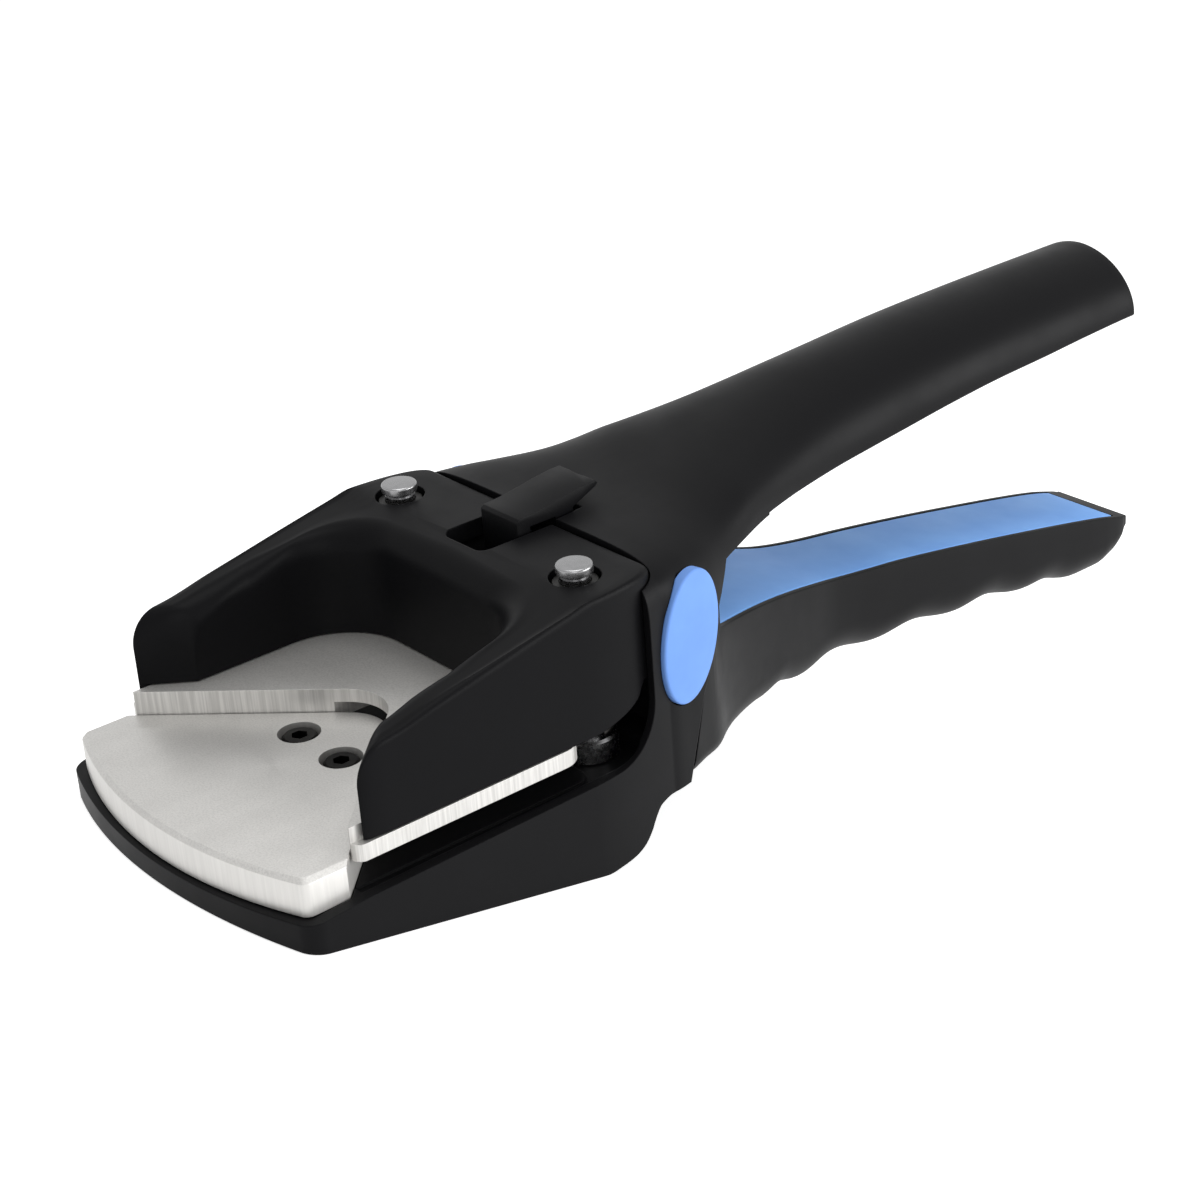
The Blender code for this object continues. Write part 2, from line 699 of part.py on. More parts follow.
def flat_screw(base, shoulder, tip, head_radius, shank_radius):
    """Profile of an upward screw, from its tip down to the face of its head."""
    return [(0.0, tip), (shank_radius, tip), (shank_radius, shoulder), (head_radius, shoulder),
            (head_radius, base), (0.0, base)]


def make_anvil_plate():
    """The table under the card, chamfered at the front and the sides but sharp round the nose."""
    rings = []
    for height, edge in ((-ANVIL_THICKNESS, 0.0), (-ANVIL_CHAMFER, 0.0), (0.0, ANVIL_CHAMFER)):
        rings.append([(x, y, height) for x, y in anvil_outline(0.0, edge)])
    plate = add_part(TOOL, "anvil_plate", loft(rings), blade_steel(), (0.0, 0.0, 0.0))
    for side in (-1.0, 1.0):
        x = side * ANVIL_SCREW_X
        cut(plate, f"anvil_counterbore_{side:+.0f}",
            rod((x, ANVIL_SCREW_Y, -COUNTERBORE_DEPTH), (x, ANVIL_SCREW_Y, OVERRUN), COUNTERBORE_RADIUS))
        cut(plate, f"anvil_screw_hole_{side:+.0f}",
            rod((x, ANVIL_SCREW_Y, -ANVIL_THICKNESS - OVERRUN), (x, ANVIL_SCREW_Y, 0.0),
                SOCKET_SHANK_RADIUS + SEAT_GAP, FINE_ROUND_STEPS))


def make_anvil_screws():
    """Two socket head screws, sunk in the anvil's counterbores."""
    seat = -COUNTERBORE_DEPTH + SEAT_GAP
    top = seat + SOCKET_HEAD_HEIGHT
    profile = [(0.0, top), (SOCKET_HEAD_RADIUS - SOCKET_HEAD_CHAMFER, top),
               (SOCKET_HEAD_RADIUS, top - SOCKET_HEAD_CHAMFER), (SOCKET_HEAD_RADIUS, seat),
               (SOCKET_SHANK_RADIUS, seat), (SOCKET_SHANK_RADIUS, seat - SOCKET_SHANK_LENGTH),
               (0.0, seat - SOCKET_SHANK_LENGTH)]
    for side, name in ((-1.0, "anvil_screw_left"), (1.0, "anvil_screw_right")):
        x = side * ANVIL_SCREW_X
        screw = add_turned(TOOL, name, profile, dark_steel(), (x, ANVIL_SCREW_Y, 0.0))
        low, high = (x, ANVIL_SCREW_Y, top - SOCKET_HEX_DEPTH), (x, ANVIL_SCREW_Y, top + OVERRUN)
        cut(screw, name + "_socket", rod(low, high, SOCKET_HEX_RADIUS, 6))


# Fixed body

def body_ring(y, half_width, low, shoulder, top, square):
    """One upright section of the body: straight sides with an arch over them and a narrow lower edge."""
    edge = RIM_EDGE
    points = [(half_width - edge, y, low), (half_width, y, low + edge), (half_width, y, shoulder)]
    for index in range(1, ARCH_STEPS):
        angle = math.pi * index / ARCH_STEPS
        across, up = math.cos(angle), math.sin(angle)
        x = half_width * math.copysign(abs(across) ** square, across)
        points.append((x, y, shoulder + (top - shoulder) * up ** square))
    return points + [(-half_width, y, shoulder), (-half_width, y, low + edge), (edge - half_width, y, low)]


def handle_section(share):
    """Half width, bottom, shoulder, top and squareness at a share of the handle's length."""
    half_width, low, shoulder, top, square = between(HANDLE_STATION_SHARES, share)
    return (half_width * BODY_HALF_WIDTH, low * HANDLE_TOP, shoulder * HANDLE_TOP, top * HANDLE_TOP, square)


def body_shares():
    """Places of the handle's sections, closer together at the waist."""
    shares = [(index / BODY_RINGS) ** BODY_RING_CROWDING for index in range(BODY_RINGS + 1)]
    return [share for share in shares if abs(share - TROUGH_START_SHARE) > TROUGH_CLEAR_SHARE]


def body_outer_mesh():
    half_width, low, shoulder, top, square = handle_section(0.0)
    full = BODY_HALF_WIDTH
    rings = [body_ring(y, wide, BODY_ROOT_Z, shoulder, top, square)
             for y, wide in flank_stations(full, half_width)]
    end = HANDLE_END_Y
    for share in body_shares():
        half_width, low, shoulder, top, square = handle_section(share)
        if share < TROUGH_START_SHARE:
            low = BODY_ROOT_Z
        rings.append(body_ring(HEAD_REAR_Y + share * HANDLE_LENGTH, half_width, low, shoulder, top, square))
    half_width, low, shoulder, top, square = handle_section(1.0)
    less = HANDLE_END_ROUNDING
    rings[-1] = body_ring(end - less, half_width, low, shoulder, top, square)
    rings.append(body_ring(end, half_width - less, low, shoulder, top - less, square))
    return loft(rings)


def flank_stations(full, waist):
    """Half widths from the tray's front to the waist: straight sides, then a long curve inwards."""
    start = LEDGE_REAR_Y - OVERRUN
    stations = [(-BODY_HALF_WIDTH, full), (0.0, full), (start, full)]
    steps = CORNER_STEPS
    for index in range(1, steps):
        share = index / steps
        stations.append((start + (HEAD_REAR_Y - start) * share, full - (full - waist) * share ** FLANK_CURVE))
    return stations


def rear_edge():
    """The body's rear edge beside the lever, from the bottom up to the crotch under the handle."""
    return [
        (PIVOT_Y - REAR_EDGE_AHEAD, REAR_EDGE_BOTTOM_Z),
        (PIVOT_Y + REAR_EDGE_STEP_Y, REAR_EDGE_STEP_Z),
        (PIVOT_Y + REAR_EDGE_UPRIGHT_Y, PIVOT_Z - REAR_EDGE_UPRIGHT_LOW),
        (PIVOT_Y + REAR_EDGE_UPRIGHT_Y, PIVOT_Z + REAR_EDGE_UPRIGHT_HIGH),
        (PIVOT_Y + REAR_EDGE_CROTCH_Y, REAR_EDGE_CROTCH_Z),
    ]


def rear_opening():
    """What is cut away under the waist for the lever."""
    low = REAR_EDGE_BOTTOM_Z * 2.0
    edge = rear_edge()
    first = edge[0]
    second = edge[1]
    step = (second[0] - first[0]) / (second[1] - first[1])
    start = (first[0] + (low - first[1]) * step, low)
    run = TROUGH_START_SHARE + CROTCH_RUN_SHARE
    trough_y = HEAD_REAR_Y + run * HANDLE_LENGTH
    return [start] + edge + [(trough_y, handle_section(run)[1]), (trough_y, low)]


def underside():
    """What is cut away below the sloping underside and behind the heel."""
    def depth(y):
        return -UNDERSIDE_DEPTH - math.tan(REST_TILT) * y
    front = -BODY_HALF_WIDTH
    end = UNDERSIDE_END_Y
    low = depth(end) - HANDLE_TOP
    heel = []
    for along, up in HEEL_SHARES:
        y = end + along * HEEL_LENGTH
        heel.append((y, depth(y) + up * HEEL_RISE))
    far_y = end + 2.0 * HEEL_LENGTH
    return [(front, low), (front, depth(front))] + heel + [(far_y, heel[-1][1]), (far_y, low)]


def above_rim():
    """What is cut away above the tray's rim, up to the cheeks beside the head."""
    high = HANDLE_TOP + OVERRUN
    front = -BODY_HALF_WIDTH - OVERRUN
    radius = CHEEK_CORNER_RADIUS
    corner = arc((CHEEK_FRONT_Y - radius, radius - RIM_REAR_DEPTH), radius, -90.0, 0.0)
    lip = [(front, -RIM_LIP_DEPTH), (-RIM_LIP_REACH, -RIM_LIP_DEPTH), (0.0, -RIM_FRONT_DEPTH)]
    return [(front, high)] + lip + corner + [(CHEEK_FRONT_Y, high)]


def head_outline(grow=0.0):
    """The cutting head seen from above, from its right front corner round the rear."""
    corner_x = HEAD_HALF_WIDTH - HEAD_CORNER_WIDTH
    corner_y = HEAD_REAR_Y - HEAD_CORNER_LENGTH
    rear = arc((corner_x, corner_y), HEAD_CORNER_WIDTH + grow, 0.0, 90.0, 2 * CORNER_STEPS,
               HEAD_CORNER_LENGTH + grow)
    return rear


def head_room():
    """The space that the cutting head slides in."""
    front_y = LEDGE_REAR_Y - HEAD_CORNER_LENGTH
    right = [(CUTTER_HALF_WIDTH + RUN_GAP, front_y)] + head_outline(RUN_GAP)
    return right + mirrored(right)


def front_waste():
    """What is cut away in front of the tray's bowed front edge."""
    grow = LIP_THICKNESS + SEAT_GAP
    edge = front_outline(BODY_HALF_WIDTH, ANVIL_REACH + grow, TRAY_FRONT_RADIUS, TRAY_CORNER_RADIUS)
    left_y = edge[0][1]
    right_y = edge[-1][1]
    return [(-FAR, left_y)] + edge + [(FAR, right_y), (FAR, -FAR), (-FAR, -FAR)]


def tray_groove():
    """The groove round the ledge under the cutter plate, and the well behind it for the posts."""
    outer_x = CUTTER_HALF_WIDTH + RUN_GAP
    inner_x = outer_x - TRAY_GROOVE_WIDTH
    front_y = -RUN_GAP
    outer = [(outer_x, front_y)] + arc((outer_x - HEAD_CORNER_WIDTH, TRAY_WELL_REAR_Y - HEAD_CORNER_WIDTH),
                                       HEAD_CORNER_WIDTH, 0.0, 90.0)
    inner = [(inner_x, front_y)] + arc((inner_x - LEDGE_CORNER_RADIUS, LEDGE_REAR_Y - LEDGE_CORNER_RADIUS),
                                       LEDGE_CORNER_RADIUS, 0.0, 90.0)
    return outer + mirrored(outer) + [(-x, y) for x, y in inner] + list(reversed(inner))


def cutter_room():
    """The space above the ledge that the cutter plate comes down into."""
    x = CUTTER_HALF_WIDTH + RUN_GAP
    front_y = -RUN_GAP
    return [(-x, front_y), (x, front_y), (x, LEDGE_REAR_Y + OVERRUN), (-x, LEDGE_REAR_Y + OVERRUN)]


def waist_room_mesh():
    """The hollow of the waist and the handle, open below."""
    rings = []
    wall = SHELL_WALL
    start = (BODY_FRONT_Y + FRONT_WALL - HEAD_REAR_Y) / HANDLE_LENGTH
    end = 1.0 - wall / HANDLE_LENGTH
    for share in [start] + [value for value in body_shares() if start < value < end] + [end]:
        half_width, low, shoulder, top, square = handle_section(share)
        if share < TROUGH_START_SHARE:
            low = WAIST_FLOOR_Z
            shoulder = max(shoulder, low + wall)
        else:
            low -= OVERRUN
        y = HEAD_REAR_Y + share * HANDLE_LENGTH
        rings.append(body_ring(y, half_width - wall, low, shoulder, top - wall, square))
    return loft(rings)


def cap_matrix(side, depth):
    """Where an oval cap sits on the flank: its own Z axis points out of the tool."""
    half_width = handle_section(PIVOT_BEHIND_HEAD / HANDLE_LENGTH)[0]
    place = Matrix.Translation((side * (half_width - depth), PIVOT_Y, PIVOT_Z))
    outwards = Matrix.Rotation(side * CAP_TURN, 4, "Z") @ Matrix.Rotation(side * math.radians(90.0), 4, "Y")
    lean = Matrix.Rotation(-side * CAP_LEAN, 4, "Z")
    return place @ outwards @ lean


def oval(grow=0.0):
    return arc((0.0, 0.0), CAP_HALF_LENGTH + grow, 0.0, 360.0, ROUND_STEPS, CAP_HALF_WIDTH + grow)[:-1]


def make_body_frame():
    """The fixed moulding: base tray, cheeks, waist and upper handle in one piece."""
    body = add_part(TOOL, "body_frame", body_outer_mesh(), body_plastic(), (0.0, 0.0, 0.0))
    high = HANDLE_TOP
    cut(body, "front_waste", flat_solid(front_waste(), -high, high))
    cut(body, "underside_waste", flat_solid(underside(), -FAR, FAR, across=True))
    cut(body, "above_rim", flat_solid(above_rim(), -FAR, FAR, across=True))
    cut(body, "rear_opening", flat_solid(rear_opening(), -FAR, FAR, across=True))
    cut(body, "waist_room", waist_room_mesh())
    cut(body, "anvil_seat", flat_solid(anvil_outline(SEAT_GAP), TRAY_FLOOR_Z, high))
    cut(body, "cutter_room", flat_solid(cutter_room(), LEDGE_Z, high))
    cut(body, "tray_groove", flat_solid(tray_groove(), TRAY_FLOOR_Z, high))
    cut(body, "head_room", flat_solid(head_room(), -CUTTER_TOP_Z, high + OVERRUN))
    window = NOSE_WINDOW_HALF_WIDTH
    cut(body, "nose_window", block((-window, BODY_FRONT_Y - OVERRUN, NOSE_WINDOW_LOW),
                                   (window, BODY_FRONT_Y + FRONT_WALL + OVERRUN, NOSE_WINDOW_HIGH)))
    cut_pivot_holes(body)
    cut_latch_slot(body)
    cut_fastener_holes(body)
    cut_cover_recess(body)


def cut_pivot_holes(body):
    reach = BODY_HALF_WIDTH
    cut(body, "pivot_hole", rod((-reach, PIVOT_Y, PIVOT_Z), (reach, PIVOT_Y, PIVOT_Z),
                                PIVOT_PIN_RADIUS + SEAT_GAP))
    for side in (-1.0, 1.0):
        mesh = flat_solid(oval(SEAT_GAP), 0.0, CAP_THICKNESS * 3.0)
        mesh.transform(cap_matrix(side, CAP_SINK))
        cut(body, f"cap_pocket_{side:+.0f}", mesh)


def cut_latch_slot(body):
    x = LATCH_HALF_WIDTH + LATCH_SLOT_GAP
    y, z = LATCH_PIVOT_Y, LATCH_PIVOT_Z
    rear = y + LATCH_LUG_HALF_LENGTH + 2.0 * LATCH_SLOT_GAP
    cut(body, "latch_slot", block((-x, BODY_FRONT_Y - OVERRUN, LATCH_SLOT_FLOOR_Z), (x, rear, HANDLE_TOP)))
    reach = LATCH_PIN_HALF_LENGTH + SEAT_GAP
    cut(body, "latch_pin_hole",
        rod((-reach, y, z), (reach, y, z), LATCH_PIN_RADIUS + SEAT_GAP, FINE_ROUND_STEPS))


def cut_fastener_holes(body):
    for side in (-1.0, 1.0):
        x = side * ANVIL_SCREW_X
        low = -COUNTERBORE_DEPTH - SOCKET_SHANK_LENGTH
        cut(body, f"anvil_thread_{side:+.0f}", rod((x, ANVIL_SCREW_Y, low), (x, ANVIL_SCREW_Y, 0.0),
                                                   SOCKET_SHANK_RADIUS + SEAT_GAP, FINE_ROUND_STEPS))
        x = side * POST_X
        low = TRAY_FLOOR_Z - POST_ROOT_DEPTH
        cut(body, f"post_root_{side:+.0f}", rod((x, POST_Y, low), (x, POST_Y, 0.0), POST_RADIUS + SEAT_GAP))


def cover_outline(grow=0.0):
    """The base cover in the plane of the underside, whose Y axis runs along the slope."""
    radius = COVER_CORNER_RADIUS + grow
    x = COVER_HALF_WIDTH + grow - radius
    front, rear = COVER_FRONT_Y - grow + radius, COVER_REAR_Y + grow - radius
    return (arc((x, front), radius, -90.0, 0.0) + arc((x, rear), radius, 0.0, 90.0)
            + arc((-x, rear), radius, 90.0, 180.0) + arc((-x, front), radius, 180.0, 270.0))


def underside_matrix():
    """The sloping plane of the underside."""
    return Matrix.Translation((0.0, 0.0, -UNDERSIDE_DEPTH)) @ Matrix.Rotation(-REST_TILT, 4, "X")


def cover_screw_places():
    x = COVER_HALF_WIDTH - COVER_SCREW_INSET
    return screw_places(x, (COVER_FRONT_Y + COVER_SCREW_INSET, COVER_REAR_Y - COVER_SCREW_INSET))


def cut_cover_recess(body):
    place = underside_matrix()
    recess = flat_solid(cover_outline(SEAT_GAP), -OVERRUN, COVER_THICKNESS + SEAT_GAP)
    recess.transform(place)
    cut(body, "cover_recess", recess)
    x = COVER_HALF_WIDTH - HOLLOW_INSET
    hollow = [(HOLLOW_FRONT_Y, -HOLLOW_ROOF_DEPTH), (COVER_REAR_Y - HOLLOW_INSET / 2.0, -HOLLOW_ROOF_DEPTH),
              (COVER_REAR_Y - HOLLOW_INSET / 2.0, -3.0 * HOLLOW_ROOF_DEPTH),
              (HOLLOW_FRONT_Y, -3.0 * HOLLOW_ROOF_DEPTH)]
    cut(body, "base_hollow", flat_solid(hollow, -x, x, across=True))
    for index, (x, y) in enumerate(cover_screw_places()):
        hole = rod((x, y, 0.0), (x, y, COVER_SCREW_LENGTH + SEAT_GAP), COVER_SCREW_RADIUS + SEAT_GAP,
                   FINE_ROUND_STEPS)
        hole.transform(place)
        cut(body, f"cover_thread_{index}", hole)


def make_base_cover():
    mesh = flat_solid(cover_outline(), 0.0, COVER_THICKNESS)
    mesh.transform(underside_matrix())
    cover = add_part(TOOL, "base_cover", mesh, head_plastic(), (0.0, 0.0, -UNDERSIDE_DEPTH))
    for index, (x, y) in enumerate(cover_screw_places()):
        sink = rod((x, y, -OVERRUN), (x, y, COVER_SCREW_HEAD_HEIGHT + SEAT_GAP),
                   COVER_SCREW_HEAD_RADIUS + SEAT_GAP, FINE_ROUND_STEPS)
        hole = rod((x, y, 0.0), (x, y, COVER_THICKNESS + OVERRUN), COVER_SCREW_RADIUS + SEAT_GAP,
                   FINE_ROUND_STEPS)
        sink.transform(underside_matrix())
        hole.transform(underside_matrix())
        cut(cover, f"cover_sink_{index}", sink)
        cut(cover, f"cover_hole_{index}", hole)


def make_base_cover_screws():
    profile = flat_screw(SEAT_GAP, COVER_SCREW_HEAD_HEIGHT, COVER_SCREW_LENGTH, COVER_SCREW_HEAD_RADIUS,
                         COVER_SCREW_RADIUS)
    material = dark_steel()
    for (x, y), corner in zip(cover_screw_places(), SCREW_CORNERS):
        place = underside_matrix() @ Vector((x, y, 0.0))
        screw = add_turned(TOOL, f"base_cover_screw_{corner}", profile, material, place, "Z", FINE_ROUND_STEPS)
        screw.rotation_euler = (-REST_TILT, 0.0, 0.0)


def make_handle_plug():
    """The plug inside the handle's open trough, whose lower edge just shows."""
    rings = []
    for share in (PLUG_START_SHARE, (PLUG_START_SHARE + PLUG_END_SHARE) / 2.0, PLUG_END_SHARE):
        half_width, low, shoulder, top, square = handle_section(share)
        inset = SHELL_WALL + SEAT_GAP
        y = HEAD_REAR_Y + share * HANDLE_LENGTH
        rings.append(body_ring(y, half_width - inset, low - PLUG_DROP, shoulder, top - inset, square))
    middle_y = rings[1][0][1]
    plug = add_part(TOOL, "handle_plug", loft(rings), grip_plastic(), (0.0, middle_y, HANDLE_TOP))
    half_width, low, shoulder, top, square = handle_section(PLUG_START_SHARE)
    x = half_width - SHELL_WALL - SEAT_GAP - PLUG_WALL
    roof = top - SHELL_WALL - SEAT_GAP - PLUG_WALL
    front, rear = rings[0][0][1] - OVERRUN, rings[2][0][1] - PLUG_WALL
    cut(plug, "plug_hollow", block((-x, front, low - OVERRUN), (x, rear, roof)))


def make_pivot_caps():
    """Blue oval caps, one on each flank, slightly crowned."""
    for side, name in ((-1.0, "pivot_cap_left"), (1.0, "pivot_cap_right")):
        rings = []
        top = CAP_THICKNESS
        for height, grow in ((SEAT_GAP, 0.0), (top - CAP_CROWN, 0.0), (top, -2.0 * CAP_CROWN)):
            rings.append([(x, y, height) for x, y in oval(grow)])
        mesh = loft(rings)
        mesh.transform(cap_matrix(side, CAP_SINK))
        add_part(TOOL, name, mesh, blue_plastic(), cap_matrix(side, 0.0).translation)


def make_pivot_pin():
    half_width = handle_section(PIVOT_BEHIND_HEAD / HANDLE_LENGTH)[0] - PIVOT_PIN_INSET
    edge = BUSH_CHAMFER
    radius = PIVOT_PIN_RADIUS
    profile = [(0.0, half_width), (radius - edge, half_width), (radius, half_width - edge),
               (radius, edge - half_width), (radius - edge, -half_width), (0.0, -half_width)]
    add_turned(TOOL, "pivot_pin", profile, bright_steel(), (0.0, PIVOT_Y, PIVOT_Z), "X")


def make_guide_posts():
    """Posts with a grooved, crowned head above the deck and a flange on the tray floor."""
    top = POST_TOP_Z
    neck = top - POST_HEAD_HEIGHT
    flange = TRAY_FLOOR_Z + SEAT_GAP
    root = TRAY_FLOOR_Z - POST_ROOT_DEPTH + SEAT_GAP
    profile = [
        (0.0, top), (POST_HEAD_RADIUS - 2.0 * POST_HEAD_CROWN, top),
        (POST_HEAD_RADIUS - POST_HEAD_CROWN / 2.0, top - POST_HEAD_CROWN / 2.0),
        (POST_HEAD_RADIUS, top - 2.0 * POST_HEAD_CROWN), (POST_HEAD_RADIUS, neck),
        (POST_NECK_RADIUS, neck - POST_HEAD_CROWN), (POST_NECK_RADIUS, neck - POST_NECK_HEIGHT),
        (POST_RADIUS, neck - POST_NECK_HEIGHT), (POST_RADIUS, FLANGE_TOP_Z),
        (POST_FLANGE_RADIUS, FLANGE_TOP_Z), (POST_FLANGE_RADIUS, flange), (POST_RADIUS, flange),
        (POST_RADIUS, root), (0.0, root),
    ]
    for side, name in ((-1.0, "guide_post_left"), (1.0, "guide_post_right")):
        add_turned(TOOL, name, profile, bright_steel(), (side * POST_X, POST_Y, 0.0), "Z", 2 * FINE_ROUND_STEPS)


def make_post_bushes():
    bore = POST_RADIUS + BUSH_BORE_GAP
    outer = bore + BUSH_WALL
    edge = BUSH_CHAMFER
    profile = [(bore, BUSH_TOP_Z), (outer - edge, BUSH_TOP_Z), (outer, BUSH_TOP_Z - edge), (outer, BUSH_BASE_Z),
               (bore, BUSH_BASE_Z), (bore, BUSH_TOP_Z)]
    for side, name in ((-1.0, "post_bush_left"), (1.0, "post_bush_right")):
        add_turned(HEAD, name, profile, dark_steel(), (side * POST_X, POST_Y, 0.0))


def spring_points(x):
    """Points along one unbroken coil, whose end turns close up on themselves."""
    low = FLANGE_TOP_Z + SPRING_WIRE_RADIUS + SEAT_GAP
    high = BUSH_BASE_Z - SPRING_WIRE_RADIUS - SEAT_GAP
    count = SPRING_TURNS * SPRING_POINTS_PER_TURN
    points = []
    for index in range(count + 1):
        share = index / count
        angle = math.tau * index / SPRING_POINTS_PER_TURN
        points.append(Vector((x + SPRING_RADIUS * math.cos(angle), POST_Y + SPRING_RADIUS * math.sin(angle),
                              low + (high - low) * share)))
    return points


def least_gap(points, radius, apart):
    """The least clear space between turns of a tube, measured between its points."""
    nearest = min((first - second).length for index, first in enumerate(points)
                  for second in points[index + apart:])
    return nearest - 2.0 * radius


def make_return_springs():
    for side, name in ((-1.0, "return_spring_left"), (1.0, "return_spring_right")):
        points = spring_points(side * POST_X)
        gap = least_gap(points, SPRING_WIRE_RADIUS, SPRING_POINTS_PER_TURN // 2)
        print(f"{name}: least gap between turns {gap * 1000.0:.2f} mm")
        data = bpy.data.curves.new(name, "CURVE")
        data.dimensions = "3D"
        data.bevel_depth = SPRING_WIRE_RADIUS
        data.bevel_resolution = 1
        data.use_fill_caps = True
        spline = data.splines.new("POLY")
        spline.points.add(len(points) - 1)
        for point, place in zip(spline.points, points):
            point.co = (*place, 1.0)
        add_part(TOOL, name, curve_mesh(data), spring_steel(), (side * POST_X, POST_Y, FLANGE_TOP_Z))


# Lock latch

def latch_profile():
    """The hook from the side: leg, arm with its lug, and thin raised tail."""
    front, top = LATCH_FRONT_Y, LATCH_TOP_Z
    arm_low = top - LATCH_ARM_THICKNESS
    lug_front, lug_rear = LATCH_PIVOT_Y - LATCH_LUG_HALF_LENGTH, LATCH_PIVOT_Y + LATCH_LUG_HALF_LENGTH
    lug_low = LATCH_PIVOT_Z - LATCH_LUG_DROP
    edge = LATCH_TAIL_THICKNESS / 2.0
    leg = front + LATCH_LEG_THICKNESS
    tail_low = LATCH_TAIL_Z - LATCH_TAIL_THICKNESS
    return [
        (front, LATCH_LEG_BOTTOM_Z), (leg, LATCH_LEG_BOTTOM_Z), (leg, arm_low), (lug_front, arm_low),
        (lug_front, lug_low + edge), (lug_front + edge, lug_low), (lug_rear - edge, lug_low),
        (lug_rear, lug_low + edge), (lug_rear, arm_low + edge), (LATCH_TAIL_Y - edge, tail_low),
        (LATCH_TAIL_Y, tail_low + edge), (LATCH_TAIL_Y - edge, LATCH_TAIL_Z),
        ((lug_rear + LATCH_TAIL_Y) / 2.0, LATCH_TAIL_Z - edge), (lug_rear, top + edge),
        (front + edge, top), (front, top - edge),
    ]


def make_latch():
    mesh = flat_solid(latch_profile(), -LATCH_HALF_WIDTH, LATCH_HALF_WIDTH, across=True)
    latch = add_part(LATCH, "latch", mesh, grip_plastic(), LATCH["origin"])
    scoop_y = LATCH_TAIL_Y + LATCH_SCOOP_RADIUS - LATCH_SCOOP_DEPTH
    cut(latch, "latch_scoop", rod((0.0, scoop_y, LATCH_LEG_BOTTOM_Z), (0.0, scoop_y, HANDLE_TOP),
                                  LATCH_SCOOP_RADIUS))
    reach = LATCH_HALF_WIDTH + OVERRUN
    cut(latch, "latch_bore", rod((-reach, LATCH_PIVOT_Y, LATCH_PIVOT_Z), (reach, LATCH_PIVOT_Y, LATCH_PIVOT_Z),
                                 LATCH_PIN_RADIUS + SEAT_GAP, FINE_ROUND_STEPS))


def make_latch_pin():
    length = LATCH_PIN_HALF_LENGTH
    radius = LATCH_PIN_RADIUS
    profile = [(0.0, length), (radius, length), (radius, -length), (0.0, -length)]
    add_turned(TOOL, "latch_pin", profile, bright_steel(), (0.0, LATCH_PIVOT_Y, LATCH_PIVOT_Z), "X",
               FINE_ROUND_STEPS)


# Cutting head

def head_top(y):
    return between(HEAD_TOP_SHARES, y / HEAD_REAR_Y)[0] * DECK_HEIGHT


def pocket_side():
    """The pocket's right half seen from above, from the prong's inner end to the rear's middle."""
    corner = arc((POCKET_HALF_WIDTH - POCKET_CORNER_RADIUS, POCKET_REAR_Y - POCKET_CORNER_RADIUS),
                 POCKET_CORNER_RADIUS, 0.0, 90.0, 2 * CORNER_STEPS)
    return corner


def head_pairs():
    """Matched places on the outside and in the pocket, from the prong's tip to the rear's middle."""
    outer_x = HEAD_HALF_WIDTH
    inner_x = POCKET_HALF_WIDTH
    face_y = PRONG_FACE_Y
    inner_y = face_y + PRONG_FACE_SWEEP
    straight_end = HEAD_REAR_Y - HEAD_CORNER_LENGTH
    pairs = []
    for step in range(PRONG_STEPS):
        angle = math.radians(90.0 * step / (PRONG_STEPS - 1))
        back = PRONG_NOSE_RADIUS * (1.0 - math.cos(angle))
        drop = PRONG_NOSE_RADIUS * (1.0 - math.sin(angle))
        side = PRONG_CORNER_RADIUS * (1.0 - math.sin(angle))
        pairs.append(((outer_x - side, face_y + back), (inner_x, inner_y + back / 2.0), drop))
    corner_start = POCKET_REAR_Y - POCKET_CORNER_RADIUS
    first = pairs[-1]
    for step in range(1, PRONG_STEPS):
        share = step / PRONG_STEPS
        outer_y = first[0][1] + (straight_end - first[0][1]) * share
        side_y = first[1][1] + (corner_start - first[1][1]) * share
        pairs.append(((outer_x, outer_y), (inner_x, side_y), 0.0))
    outer_arc = head_outline()
    inner_arc = pocket_side()
    for outer, inner in zip(outer_arc, inner_arc):
        pairs.append((outer, inner, 0.0))
    pairs.append(((0.0, HEAD_REAR_Y), (0.0, POCKET_REAR_Y), 0.0))
    return pairs


def head_ring(outer, inner, drop):
    """One section through the head's wall, from the outside over the top into the pocket."""
    base = HOUSING_BASE_Z
    edge = DECK_EDGE
    span = Vector(inner) - Vector(outer)
    inward = span.normalized()
    radius = min(POCKET_RIM_RADIUS, span.length / 2.0)
    outer_top = head_top(outer[1]) - drop
    wall = SKIRT_WALL
    if outer[1] < CUTTER_LENGTH:
        wall = min(wall, (outer[0] - CUTTER_REBATE_X - SEAT_GAP) / -inward.x)
    skirt = Vector(outer) + inward * wall
    points = [(*skirt, base), (*skirt, SKIRT_BASE_Z), (*outer, SKIRT_BASE_Z), (*outer, outer_top - edge)]
    lip = Vector(outer) + inward * edge
    points.append((*lip, outer_top))
    start = Vector(inner) - inward * radius
    rim_top = head_top(start.y) - drop
    for index in range(CORNER_STEPS + 1):
        angle = math.radians(90.0 * index / CORNER_STEPS)
        place = start + inward * radius * math.sin(angle)
        points.append((*place, rim_top - radius * (1.0 - math.cos(angle))))
    points.append((*inner, base))
    return points


